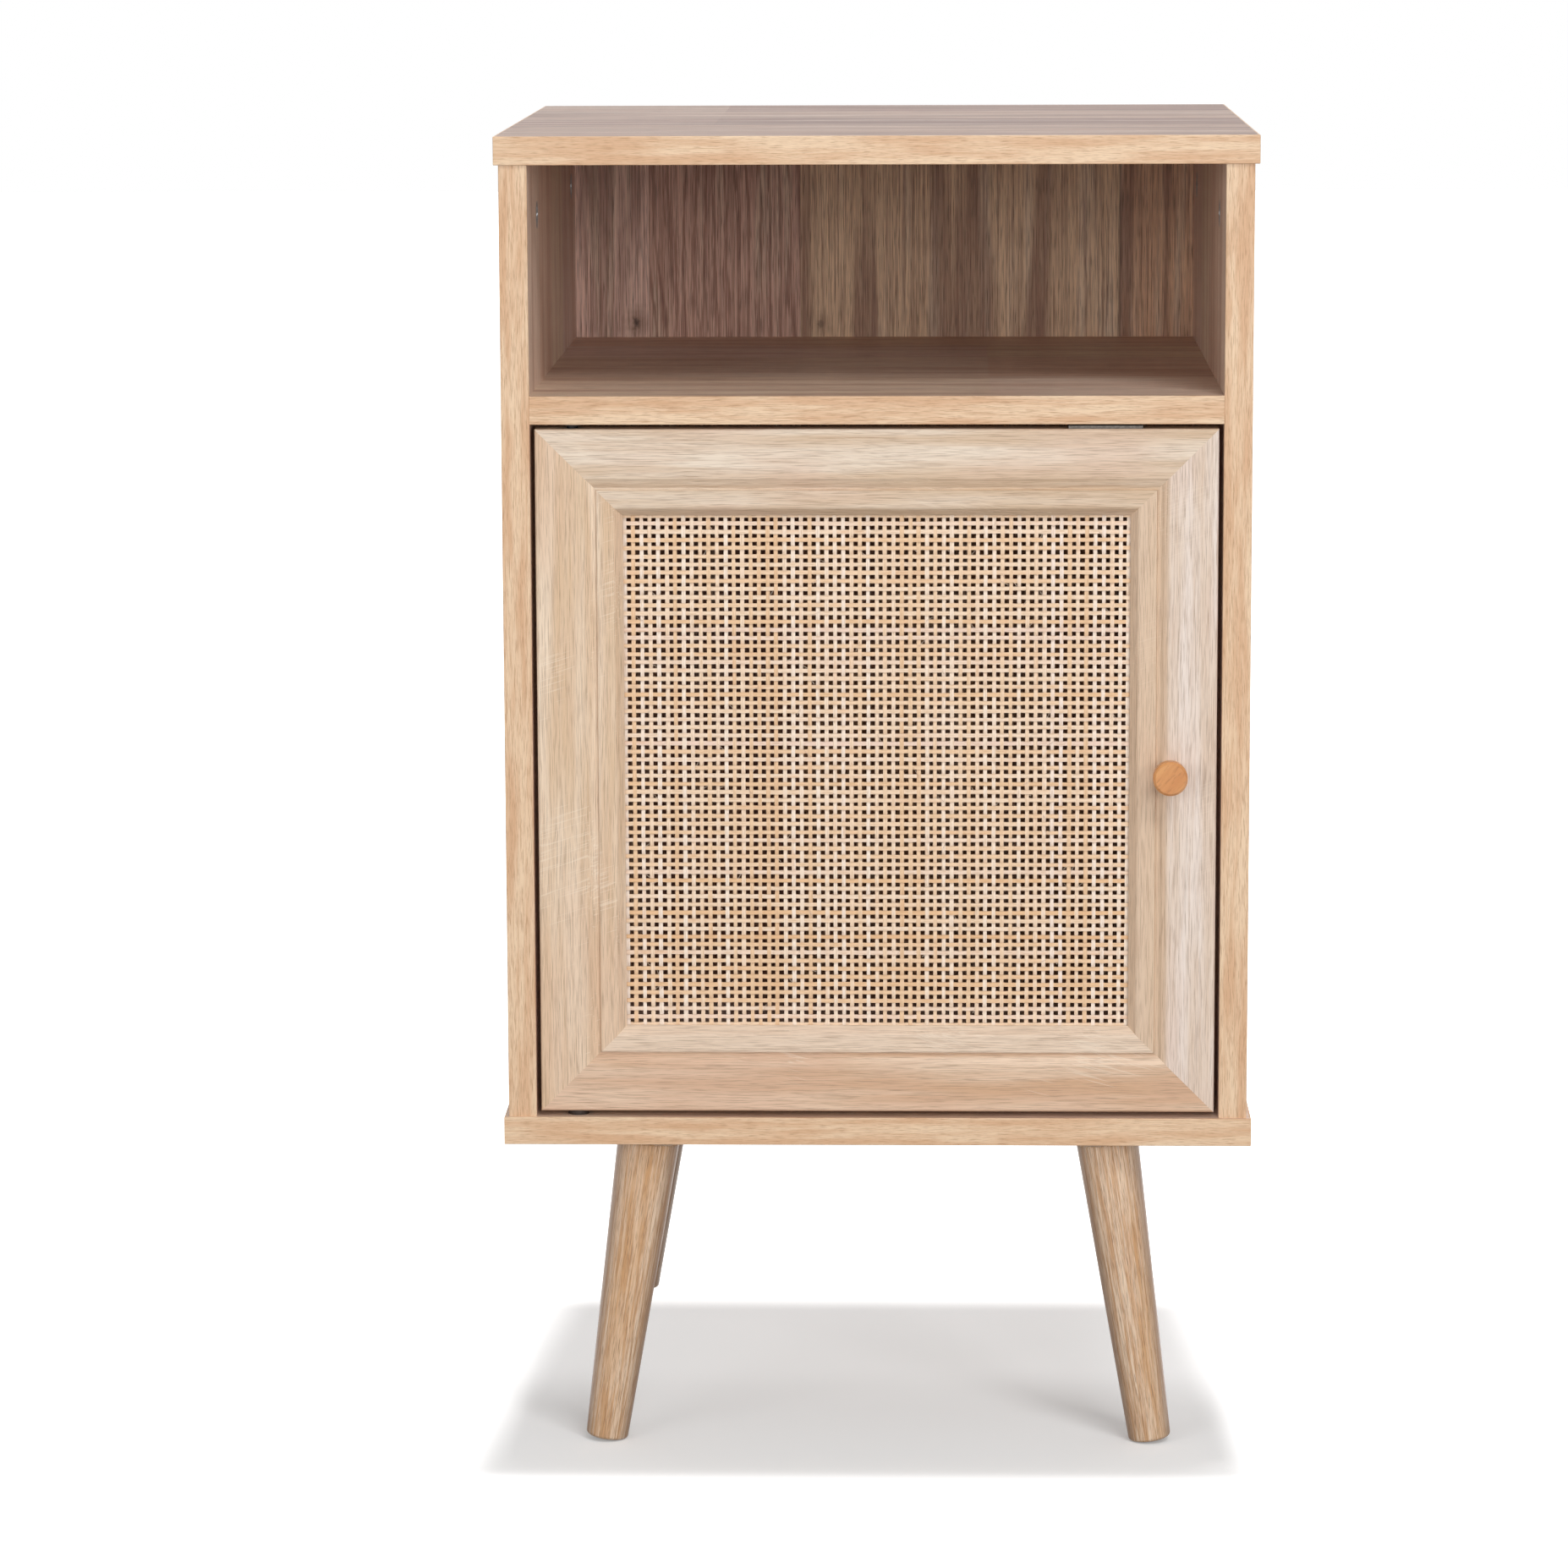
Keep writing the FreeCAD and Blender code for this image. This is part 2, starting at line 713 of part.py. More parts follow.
def legs():
    """Legs, plates, hanger bolts and plate screws, and the holes that the bottom board needs."""
    bolt_spots, screw_spots, bore_spots, pockets = [], [], [], []
    for label, side, depth, lean in leg_spots():
        bolt_spots.append((leg_place(side, depth), lean))
        screw_spots.extend(plate_screw_spots(side, depth))
        over = (f"{side} * leg_mount_x", f"{depth} * leg_mount_y", "floor_clearance")
        bore_spots.append((over, facing(UP)))
        pockets.append(plate_slab(f"{label}_pocket", side, depth, "-overrun", "plate_thick", "fit_gap"))
        leg(label, side, depth, lean)
    screw_long = "plate_thick + screw_bite"
    screw_sizes = ("screw_head_radius", "screw_head", "screw_radius")
    screw = drawn_screw("plate_screw", *screw_sizes, screw_long)
    keep("leg_plate_screws", copies("leg_plate_screws", screw, screw_spots))
    bore = drawn_bore("plate_screw_bore", "screw_radius", screw_long)
    screw_bores = copies("plate_screw_bores", bore, screw_spots)
    for label, side, depth, lean in leg_spots():
        leg_plate(f"{label}_plate", side, depth, lean, screw_bores)
    hanger = rod("drawn_hanger", "hanger_radius", "-hanger_in_leg", "hanger_above")
    keep("leg_hanger_bolts", copies("leg_hanger_bolts", hanger, bolt_spots))
    room = rod("hanger_room", "hanger_bore_radius", "-overrun", "hanger_bore_deep")
    return [fused("plate_pockets", *pockets), screw_bores, copies("hanger_bores", room, bore_spots)]


# Pivots of the door


def pivots():
    """Pins, bushes and washer of the door, and the holes for them in boards and rails."""
    ends = (("upper", "shelf_under", DOWN, "door_gap_top"), ("lower", "deck", UP, "door_gap_bottom"))
    bush_spots, pin_bores = [], {}
    shell = fused(
        "bush_shell",
        rod("bush_sleeve", "bush_radius", "-bush_deep", "0"),
        rod("bush_collar", "bush_flange_radius", "0", "bush_flange"),
    )
    hole = rod("bush_hole", "pin_radius + turn_gap", "-bush_deep - overrun", "bush_flange + overrun")
    bush = cut("drawn_bush", shell, hole)
    for end, face, out, gap in ends:
        spot = (("pivot_x", "pivot_y", face), facing(out, RIGHT))
        bush_spots.append(spot)
        keep(f"{end}_pivot_bush", copies(f"{end}_pivot_bush", bush, [spot]))
        pin = rod(f"{end}_pin", "pin_radius", "-pin_in_bush", f"{gap} + pin_in_door")
        keep(f"{end}_pivot_pin", copies(f"{end}_pivot_pin", pin, [spot]))
        bore = rod(f"{end}_bore", "pin_radius + fit_gap", gap, f"{gap} + pin_in_door + end_gap")
        pin_bores[end] = copies(f"{end}_pin_bore", bore, [spot])
    ring = cut(
        "drawn_washer",
        rod("washer_disc", "bush_flange_radius", "bush_flange + washer_play", "door_gap_bottom"),
        rod("washer_hole", "pin_radius + fit_gap", "0", "door_gap_bottom + overrun"),
    )
    keep("pivot_washer", copies("pivot_washer", ring, bush_spots[1:]))
    seat = rod("bush_seat", "bush_radius + fit_gap", "-bush_deep - end_gap", "overrun")
    return copies("bush_bores", seat, bush_spots), pin_bores


# Door frame


def moulding(name, long):
    """One member of the door frame, lying along X with its outer edge down and its face to the front."""
    body = doc.addObject("PartDesign::Body", name)
    cove = [
        (f"cove_deep * {deep}", f"cove_from_edge + cove_wide * {wide}") for deep, wide in cove_shares[1:]
    ]
    profile = [
        ("0", "0"),
        ("0", "cove_from_edge"),
        *cove,
        ("ovolo_set", "cove_from_edge + cove_wide + quirk_wide"),
        ("ovolo_set", "frame_wide - lip_slope"),
        ("lip_thick - lip_edge", "frame_wide"),
        ("lip_thick", "frame_wide"),
        ("lip_thick", "rabbet_edge"),
        ("door_thick", "rabbet_edge"),
        ("door_thick", "0"),
    ]
    bar = padded(body, outline(body, f"{name}_profile", "YZ_Plane", profile), long)

    slope_top = value("ovolo_set"), value("frame_wide - lip_slope")

    def on_lip(edge, box):
        own = edge.BoundBox
        here = near(own.YMax, slope_top[0]) and near(own.ZMin, slope_top[1])
        return here and near(own.XLength, box.XLength) and near(own.ZMax, own.ZMin)

    def on_rim(edge, box):
        own = edge.BoundBox
        return near(own.XLength, box.XLength) and near(own.YMax, 0) and near(own.ZMax, box.ZMin)

    lip = rounded(body, bar, "lip_round", on_lip)
    rim = rounded(body, lip, "frame_round", on_rim)
    past = "frame_wide + overrun"
    far = f"{long} + overrun"
    mitres = (
        [("0", "0"), (past, past), ("-overrun", past), ("-overrun", "0")],
        [(long, "0"), (far, "0"), (far, past), (f"{long} - ({past})", past)],
    )
    whole = rim.Shape.Volume
    pocket = body.newObject("PartDesign::Pocket", f"{name}_mitres")
    pocket.Profile = outline(body, f"{name}_mitre_outline", "XZ_Plane", *mitres)
    pocket.Type = "ThroughAll"
    pocket.Midplane = True
    doc.recompute()
    if pocket.Shape.Volume >= whole:
        raise RuntimeError(f"the mitres of {name} cut nothing")
    return body


def frame_members():
    """The four members of the frame: length, place of the outer corner, and turn."""
    return {
        "door_bottom_rail": ("door_wide", ("door_left", "front", "door_bottom"), 0),
        "door_top_rail": ("door_wide", ("door_right", "front", "door_top"), 180),
        "door_left_stile": ("door_tall", ("door_left", "front", "door_top"), 90),
        "door_right_stile": ("door_tall", ("door_right", "front", "door_bottom"), -90),
    }


def mitre_spots():
    """The middle of each mitre, and the turn of the dowel that crosses it."""
    for x, side in (("door_left + mitre_dowel_inset", -1), ("door_right - mitre_dowel_inset", 1)):
        for z, end in (("door_bottom + mitre_dowel_inset", -1), ("door_top - mitre_dowel_inset", 1)):
            yield (x, "door_mid", z), facing(V(side, 0, -end))


def brad_spots():
    """The brads, along the outer edge of each retaining bead, at shares of its length."""
    back = "door_back - bead_recess"
    low, high = "bead_bottom + bead_wide", "bead_top - bead_wide"
    for share in brad_shares:
        across = f"bead_left + (bead_right - bead_left) * {share}"
        up = f"{low} + ({high} - ({low})) * {share}"
        for x, z in (
            (across, "bead_bottom + brad_inset"),
            (across, "bead_top - brad_inset"),
            ("bead_left + brad_inset", up),
            ("bead_right - brad_inset", up),
        ):
            yield (x, back, z), facing(FRONT)


def cane_beads(brad_bores):
    """The four strips that hold the cane in its rabbet."""
    low, high = "bead_bottom + bead_wide", "bead_top - bead_wide"
    spans = {
        "bottom_cane_bead": (("bead_left", "bead_bottom"), ("bead_right", low)),
        "top_cane_bead": (("bead_left", high), ("bead_right", "bead_top")),
        "left_cane_bead": (("bead_left", low), ("bead_left + bead_wide", high)),
        "right_cane_bead": (("bead_right - bead_wide", low), ("bead_right", high)),
    }
    for label, ((x0, z0), (x1, z1)) in spans.items():
        strip = block(f"{label}_blank", [x0, "bead_face", z0], [x1, "bead_face + bead_thick", z1])
        bored(label, strip, brad_bores)


def cane():
    """The cane panel: a thin sheet with a net of square gaps over the door's opening."""
    left, right = value("door_left + frame_wide"), value("door_right - frame_wide")
    low, high = value("door_bottom + frame_wide"), value("door_top - frame_wide")
    face, bite = value("cane_face"), value("cane_bite")

    def loop(x0, z0, x1, z1):
        corners = [V(x0, face, z0), V(x1, face, z0), V(x1, face, z1), V(x0, face, z1)]
        return Part.makePolygon([*corners, corners[0]])

    pitch_x, pitch_z = (right - left) / CANE_GAPS, (high - low) / CANE_GAPS
    edge = strand_share / 2
    gaps = [
        loop(
            left + pitch_x * (column + edge),
            low + pitch_z * (row + edge),
            left + pitch_x * (column + 1 - edge),
            low + pitch_z * (row + 1 - edge),
        )
        for column in range(CANE_GAPS)
        for row in range(CANE_GAPS)
    ]
    rim = loop(left - bite, low - bite, right + bite, high + bite)
    net = doc.addObject("Part::Feature", "cane_panel")
    face_with_gaps = Part.makeFace([rim, *gaps], "Part::FaceMakerBullseye")
    net.Shape = face_with_gaps.extrude(BACK * value("cane_thick"))
    keep("cane_panel", net)


# Knob


def knob():
    """The turned knob and its screw, and the screw's hole in the stile."""
    body = doc.addObject("PartDesign::Body", "knob_turning")
    corners = [
        ("0", "0"),
        ("knob_stem_radius", "0"),
        ("knob_stem_radius", "knob_stem"),
        ("knob_radius", "knob_stem + knob_flare"),
        ("knob_radius", "knob_long - knob_bevel"),
        ("knob_radius - knob_bevel", "knob_long"),
        ("0", "knob_long"),
    ]
    turned(body, outline(body, "knob_outline", "XZ_Plane", corners))
    place(body, ("knob_x", "front", "knob_z"), facing(FRONT, RIGHT))
    hole = drawn_bore("knob_hole", "knob_screw_radius", "door_thick + knob_screw_bite")
    spot = [(("knob_x", "door_back", "knob_z"), facing(FRONT, RIGHT))]
    bore = copies("knob_bore", hole, spot)
    bored("door_knob", body, bore)
    screw_sizes = ("knob_screw_head_radius", "knob_screw_head", "knob_screw_radius")
    screw = drawn_screw("drawn_knob_screw", *screw_sizes, "door_thick + knob_screw_bite")
    keep("knob_screw", copies("knob_screw", screw, spot))
    return bore


# Magnetic catch


def catch():
    """The catch under the shelf, and the holes of its screws."""
    ends = ["catch_x - catch_long / 2", "catch_x + catch_long / 2"]
    body_ends = ["catch_x - catch_body_long / 2", "catch_x + catch_body_long / 2"]
    low = "catch_base - catch_body_tall"
    rear = "catch_face + catch_body_deep"
    base = block(
        "catch_base_block",
        [ends[0], "catch_face", "catch_base"],
        [ends[1], "catch_face + catch_base_deep", "shelf_under"],
    )
    shell = block(
        "catch_shell", [body_ends[0], "catch_face", low], [body_ends[1], rear, "catch_base"]
    )
    inside = (
        [body_ends[0], "catch_face", f"{low} + catch_wall"],
        [body_ends[1], f"{rear} - catch_wall", "catch_base - catch_wall"],
    )
    hollow = block("catch_hollow", [inside[0][0], "catch_face - overrun", inside[0][2]], inside[1])
    case = cut("catch_case_blank", fused("catch_block", base, shell), hollow)
    screw_row = f"({rear} + catch_face + catch_base_deep) / 2"
    spots = [
        ((f"catch_x + {side} * catch_screw_spacing / 2", screw_row, "catch_base"), facing(UP))
        for side in (-1, 1)
    ]
    long = "catch_base_thick + screw_bite"
    bores = copies("catch_screw_bores", drawn_bore("catch_screw_bore", "screw_radius", long), spots)
    bored("catch_case", case, bores)
    keep("catch_magnet", block("catch_magnet", *inside))
    poles = [
        block(f"catch_pole_{number}", [x0, "pole_face", low], [x1, rear, "catch_base"])
        for number, (x0, x1) in enumerate(zip((ends[0], body_ends[1]), (body_ends[0], ends[1])), start=1)
    ]
    group = doc.addObject("Part::Compound", "catch_pole_plates")
    group.Links = poles
    keep("catch_pole_plates", group)
    screw_sizes = ("screw_head_radius", "screw_head", "screw_radius")
    keep("catch_screws", copies("catch_screws", drawn_screw("catch_screw", *screw_sizes, long), spots))
    return bores


def strike():
    """The strike plate, bent over the door's top edge, its flush screw, and the screw's hole."""
    ends = ["catch_x - strike_long / 2", "catch_x + strike_long / 2"]
    upright = block(
        "strike_upright",
        [ends[0], "door_back", "strike_z - strike_tall / 2"],
        [ends[1], "strike_face", "door_top"],
    )
    lip = block(
        "strike_lip_blank",
        [ends[0], "door_back - strike_lip", "door_top"],
        [ends[1], "strike_face", "door_top + strike_thick"],
    )
    plate = fused("strike_blank", upright, lip)

    def countersunk(name, gap):
        head = bound(
            "Part::Cone",
            f"{name}_head",
            Radius1=f"strike_screw_head_radius + {gap}",
            Radius2=f"strike_screw_radius + {gap}",
            Height="strike_thick",
        )
        ends = "strike_thick", f"strike_screw_long + {gap}"
        shank = rod(f"{name}_shank", f"strike_screw_radius + {gap}", *ends)
        return fused(name, head, shank)

    spot = [(("catch_x", "strike_face", "strike_z"), facing(FRONT))]
    bore = copies("strike_bore", countersunk("strike_screw_bore", "fit_gap"), spot)
    bored("strike_plate", plate, bore)
    keep("strike_screw", copies("strike_screw", countersunk("drawn_strike_screw", "0"), spot))
    return bore


def door(pin_bores):
    """The framed cane door with its knob and strike plate."""
    peg = rod("mitre_dowel", "mitre_dowel_radius", "-mitre_dowel_long / 2", "mitre_dowel_long / 2")
    keep("mitre_dowels", copies("mitre_dowels", peg, list(mitre_spots())))
    peg_reach = "mitre_dowel_long / 2 + end_gap"
    peg_bore = rod("mitre_bore", "mitre_dowel_radius + fit_gap", f"-({peg_reach})", peg_reach)
    mitre_bores = copies("mitre_bores", peg_bore, list(mitre_spots()))
    brad = rod("drawn_brad", "brad_radius", "0", "brad_long")
    keep("bead_brads", copies("bead_brads", brad, list(brad_spots())))
    brad_bore = drawn_bore("brad_bore", "brad_radius", "brad_long")
    brad_bores = copies("brad_bores", brad_bore, list(brad_spots()))
    extra = {
        "door_bottom_rail": [pin_bores["lower"]],
        "door_top_rail": [pin_bores["upper"], strike()],
        "door_left_stile": [],
        "door_right_stile": [knob()],
    }
    for label, (long, where, turn) in frame_members().items():
        member = place(moulding(f"{label}_bar", long), where, FreeCAD.Rotation(BACK, turn))
        bored(label, member, mitre_bores, brad_bores, *extra[label])
    cane_beads(brad_bores)
    cane()


def check_and_write():
    """Stop at anything that failed, then write each sub-part to its own file."""
    doc.recompute()
    for item in doc.Objects:
        if {"Invalid", "Error"} & set(item.State):
            raise RuntimeError(f"{item.Label} failed: {item.State}")
    for item in nodes:
        if item.Shape.isNull() or not item.Shape.isValid():
            raise RuntimeError(f"{item.Label} has no valid shape")
    os.makedirs("parts", exist_ok=True)
    for item in nodes:
        item.Shape.exportStep(f"parts/{item.Label}.step")
    print(f"{len(nodes)} sub-parts, {sum(len(item.Shape.Solids) for item in nodes)} solids")


fill_sheet()
catch_holes = catch()
leg_holes = legs()
bush_holes, pin_holes = pivots()
carcass(board_joints(), back_nails(), catch_holes, leg_holes, bush_holes)
door(pin_holes)
check_and_write()
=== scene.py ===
import math
import random

import bmesh
import bpy
from mathutils import Matrix, Vector


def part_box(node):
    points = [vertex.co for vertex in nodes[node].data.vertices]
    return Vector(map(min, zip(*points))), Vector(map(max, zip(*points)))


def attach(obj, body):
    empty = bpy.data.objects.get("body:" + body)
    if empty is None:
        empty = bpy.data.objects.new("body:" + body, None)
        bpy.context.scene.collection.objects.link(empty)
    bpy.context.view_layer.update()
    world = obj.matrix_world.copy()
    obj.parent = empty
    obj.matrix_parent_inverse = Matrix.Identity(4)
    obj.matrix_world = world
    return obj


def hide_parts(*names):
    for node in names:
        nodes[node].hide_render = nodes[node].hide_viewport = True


# A storage side table with a cane door: printed oak boards, foil-wrapped door frame, woven cane,
# turned legs and plated fittings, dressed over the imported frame.

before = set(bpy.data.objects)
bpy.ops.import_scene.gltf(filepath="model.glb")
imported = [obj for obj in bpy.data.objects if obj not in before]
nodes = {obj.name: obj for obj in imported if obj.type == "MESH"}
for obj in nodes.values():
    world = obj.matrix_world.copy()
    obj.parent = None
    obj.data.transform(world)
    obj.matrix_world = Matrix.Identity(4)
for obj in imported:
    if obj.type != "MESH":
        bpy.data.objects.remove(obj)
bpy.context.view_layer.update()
MM = 0.001
draws = random.Random(11)

# Turns that lay a pattern's first axis, its grain, along X, Y or Z
ALONG_X = (0, 0, 0)
ALONG_Y = (0, 0, math.radians(90))
ALONG_Z = (0, math.radians(-90), 0)


def linear(hex_colour):
    """An sRGB hex colour as linear red, green and blue, with full alpha."""
    channels = [int(hex_colour[start:start + 2], 16) / 255 for start in (1, 3, 5)]
    return (*(c / 12.92 if c <= 0.04045 else ((c + 0.055) / 1.055) ** 2.4 for c in channels), 1.0)


def add(tree, kind, output, inputs, stops=(), steps="LINEAR", **settings):
    """Add a node with its settings, colour stops and inputs, set or linked, and return an output."""
    item = tree.nodes.new(kind)
    for name, setting in settings.items():
        setattr(item, name, setting)
    for place, (share, colour) in enumerate(stops):
        ramp = item.color_ramp
        ramp.interpolation = steps
        spot = ramp.elements[place] if place < 2 else ramp.elements.new(share)
        spot.position, spot.color = share, colour
    for key, source in inputs.items():
        if isinstance(source, bpy.types.NodeSocket):
            tree.links.new(source, item.inputs[key])
        else:
            item.inputs[key].default_value = source
    return item.outputs[output] if item.outputs else None


def begin(name):
    """A new material with no nodes yet, and its node tree."""
    material = bpy.data.materials.new(name)
    material.use_nodes = True
    material.node_tree.nodes.clear()
    return material, material.node_tree


# Most of a noise pattern lies between these values
NOISE_LOW, NOISE_HIGH = 0.25, 0.75


def finish_surface(tree, colour, gloss_pattern, rough_span, height, relief_mm, **sockets):
    """Close a material: its roughness follows a pattern over a span, and its bump a height."""
    low, high = rough_span
    spread = {"From Min": NOISE_LOW, "From Max": NOISE_HIGH, "To Min": low, "To Max": high}
    rough = add(tree, "ShaderNodeMapRange", "Result", {"Value": gloss_pattern, **spread})
    bump = add(tree, "ShaderNodeBump", "Normal", {"Height": height, "Distance": relief_mm * MM})
    surface = add(
        tree,
        "ShaderNodeBsdfPrincipled",
        "BSDF",
        {"Base Color": colour, "Roughness": rough, "Normal": bump, **sockets},
    )
    add(tree, "ShaderNodeOutputMaterial", None, {"Surface": surface})


def seen_straight(tree):
    """One where the camera, a gloss or a see-through surface looks, and nought for other rays."""
    seen = add(tree, "ShaderNodeLightPath", "Is Camera Ray", {})
    for other in ("Is Glossy Ray", "Is Transmission Ray"):
        ray = add(tree, "ShaderNodeLightPath", other, {})
        seen = add(tree, "ShaderNodeMath", 0, {0: seen, 1: ray}, operation="MAXIMUM")
    return seen


def grain_space(tree, turn):
    """The piece's own coordinates, turned so that the grain runs along the first axis."""
    where = add(tree, "ShaderNodeTexCoord", "Object", {})
    turned = {"Vector": where, "Rotation": turn}
    return add(tree, "ShaderNodeMapping", "Vector", turned, vector_type="TEXTURE")


def grain(tree, space, long_mm, wide_mm, detail=3.0, raggedness=0.55, waver=0.0):
    """Wood grain in streaks of a length along the grain and a width across it."""
    cells = (1 / (long_mm * MM), 1 / (wide_mm * MM), 1 / (wide_mm * MM))
    drawn = add(tree, "ShaderNodeMapping", "Vector", {"Vector": space, "Scale": cells})
    return add(
        tree,
        "ShaderNodeTexNoise",
        "Fac",
        {"Vector": drawn, "Scale": 1, "Detail": detail, "Roughness": raggedness, "Distortion": waver},
    )


def stained(tree, below, pattern, reach, share, colour):
    """Lay a colour over what is below where a pattern passes through a reach, up to a share."""
    low, high = reach
    cover = add(
        tree,
        "ShaderNodeMapRange",
        "Result",
        {"Value": pattern, "From Min": low, "From Max": high, "To Max": share},
        interpolation_type="SMOOTHSTEP",
    )
    over = linear(colour) if isinstance(colour, str) else colour
    return add(tree, "ShaderNodeMix", 2, {0: cover, 6: below, 7: over}, data_type="RGBA")


# Knots: how far the ring and the heart reach, the edge's unevenness and the size of its teeth
KNOT_RING = (14 * MM, 5 * MM)
KNOT_HEART = (7 * MM, 4 * MM)
KNOT_UNEVEN = 7 * MM
KNOT_TEETH = 4 * MM
KNOT_STRETCH = (0.7, 1, 0)
KNOT_RING_SHARE = 0.6


def knot(tree, space, place_mm, strength, below):
    """A small dark knot with a soft ring, drawn out along the grain, in a printed board."""
    centre = tuple(part * MM for part in place_mm)
    away = add(tree, "ShaderNodeVectorMath", 0, {0: space, 1: centre}, operation="SUBTRACT")
    drawn = add(tree, "ShaderNodeVectorMath", 0, {0: away, 1: KNOT_STRETCH}, operation="MULTIPLY")
    reach = add(tree, "ShaderNodeVectorMath", "Value", {0: drawn}, operation="LENGTH")
    teeth = {"Vector": space, "Scale": 1 / KNOT_TEETH, "Detail": 4}
    ragged = add(tree, "ShaderNodeTexNoise", "Fac", teeth)
    edge = add(tree, "ShaderNodeMath", 0, {0: ragged, 1: KNOT_UNEVEN, 2: reach}, operation="MULTIPLY_ADD")
    below = stained(tree, below, edge, KNOT_RING, KNOT_RING_SHARE * strength, "#7A5946")
    return stained(tree, below, edge, KNOT_HEART, strength, "#402B1F")


# Printed planks: half a seam's width in millimetres, how far a plank's print is moved for each unit of
# figure, and the cathedral figure's lean and the length and width of its bands
SEAM_HALF_MM = 0.9
PRINT_SHIFT = (3.7, 0, 1.9)
FIGURE_LEAN = (0, 0, math.radians(7))
FIGURE_BAND = (210 * MM, 26 * MM)


def printed_oak(name, turn, reach_mm, planks, joint_mm, tints, film, knots=(), fibre_rear=False):
    """Melamine-faced board printed as planks of old oak. The eye sees planks of differing colour with
    fine seams, long streaks, cathedral figure in some planks and short dark pores, under a satin
    film that goes pale where it is seen at a low angle."""
    material, tree = begin(name)
    space = grain_space(tree, turn)
    low, high = reach_mm
    along = add(tree, "ShaderNodeSeparateXYZ", "X", {"Vector": space})
    across = add(tree, "ShaderNodeSeparateXYZ", "Y", {"Vector": space})
    share = add(
        tree,
        "ShaderNodeMapRange",
        "Result",
        {"Value": across, "From Min": low * MM, "From Max": high * MM},
    )
    figuring, before, after = (
        add(
            tree,
            "ShaderNodeValToRGB",
            "Color",
            {"Fac": share},
            stops=[(plank[0], convert(plank[part])) for plank in planks],
            steps="CONSTANT",
        )
        for part, convert in ((1, lambda level: (level,) * 3 + (1,)), (2, linear), (3, linear))
    )
    past = add(tree, "ShaderNodeMath", 0, {0: along, 1: joint_mm * MM}, operation="GREATER_THAN")
    colour = add(tree, "ShaderNodeMix", 2, {0: past, 6: before, 7: after}, data_type="RGBA")
    half = SEAM_HALF_MM / (high - low)
    seams = [(0.0, (0, 0, 0, 1)), (0.001, (0, 0, 0, 1))]
    for plank in planks[1:]:
        seams += [(plank[0] + step * half, (dark,) * 3 + (1,)) for step, dark in ((-1, 0), (0, 1), (1, 0))]
    seam = add(tree, "ShaderNodeValToRGB", "Color", {"Fac": share}, stops=seams)
    # Each plank is another cut of the log, so its pattern is moved by its own figure
    moved = add(tree, "ShaderNodeVectorMath", 0, {0: figuring, 1: PRINT_SHIFT}, operation="MULTIPLY")
    own = add(tree, "ShaderNodeVectorMath", 0, {0: space, 1: moved}, operation="ADD")
    broad = grain(tree, own, 200, 11, 3)
    zone = grain(tree, own, 280, 19, 2)
    streak = grain(tree, own, 100, 1.3, 5, 0.65, 0.25)
    fine = grain(tree, own, 40, 0.45, 3, 0.6)
    # Pores are about 0.2 mm wide, and drawn at about 0.3 mm so that they show
    pore = grain(tree, own, 16, 0.28, 1)
    # Cathedral figure: bands that lean a little across the grain, broken into ticks
    long, wide = FIGURE_BAND
    leaning = add(
        tree,
        "ShaderNodeMapping",
        "Vector",
        {"Vector": own, "Rotation": FIGURE_LEAN, "Scale": (1 / long, 1 / wide, 1)},
    )
    figure = add(
        tree,
        "ShaderNodeTexWave",
        "Fac",
        {"Vector": leaning, "Scale": 1.3, "Distortion": 9, "Detail": 3, "Detail Scale": 1.3},
        bands_direction="Y",
    )
    tick = grain(tree, own, 16, 0.45, 1)
    ticked = add(tree, "ShaderNodeMath", 0, {0: figure, 1: tick}, operation="MULTIPLY")
    figured = add(tree, "ShaderNodeMath", 0, {0: ticked, 1: figuring}, operation="MULTIPLY")
    pale, deep, dark = tints
    colour = stained(tree, colour, broad, (0.46, 0.68), 0.65, pale)
    colour = stained(tree, colour, zone, (0.48, 0.64), 0.58, deep)
    colour = stained(tree, colour, streak, (0.56, 0.36), 0.6, deep)
    colour = stained(tree, colour, figured, (0.3, 0.52), 0.7, deep)
    colour = stained(tree, colour, fine, (0.48, 0.7), 0.55, deep)
    colour = stained(tree, colour, pore, (0.52, 0.66), 0.6, dark)
    colour = stained(tree, colour, seam, (0.0, 1.0), 0.55, dark)
    for place_mm, strength in knots:
        colour = knot(tree, space, place_mm, strength, colour)
    if fibre_rear:
        # No print is laid on the rear of the back sheet, which shows its pressed brown fibre
        normal = add(tree, "ShaderNodeNewGeometry", "True Normal", {})
        rear = add(tree, "ShaderNodeSeparateXYZ", "Y", {"Vector": normal})
        where = add(tree, "ShaderNodeTexCoord", "Object", {})
        pressed = {"Vector": where, "Scale": 1 / (3 * MM), "Detail": 6}
        fibre = add(tree, "ShaderNodeTexNoise", "Fac", pressed)
        bare = stained(tree, linear("#AE8D6A"), fibre, (0.35, 0.7), 0.9, "#CCAD89")
        colour = stained(tree, colour, rear, (0.3, 0.7), 1.0, bare)
    rough_span, gloss = film
    sheen = {"IOR": 1.5, "Specular IOR Level": gloss}
    finish_surface(tree, colour, streak, rough_span, pore, -0.05, **sheen)
    return material


# A band faces the board's end where its normal leans this far sideways
END_LEAN = 0.7


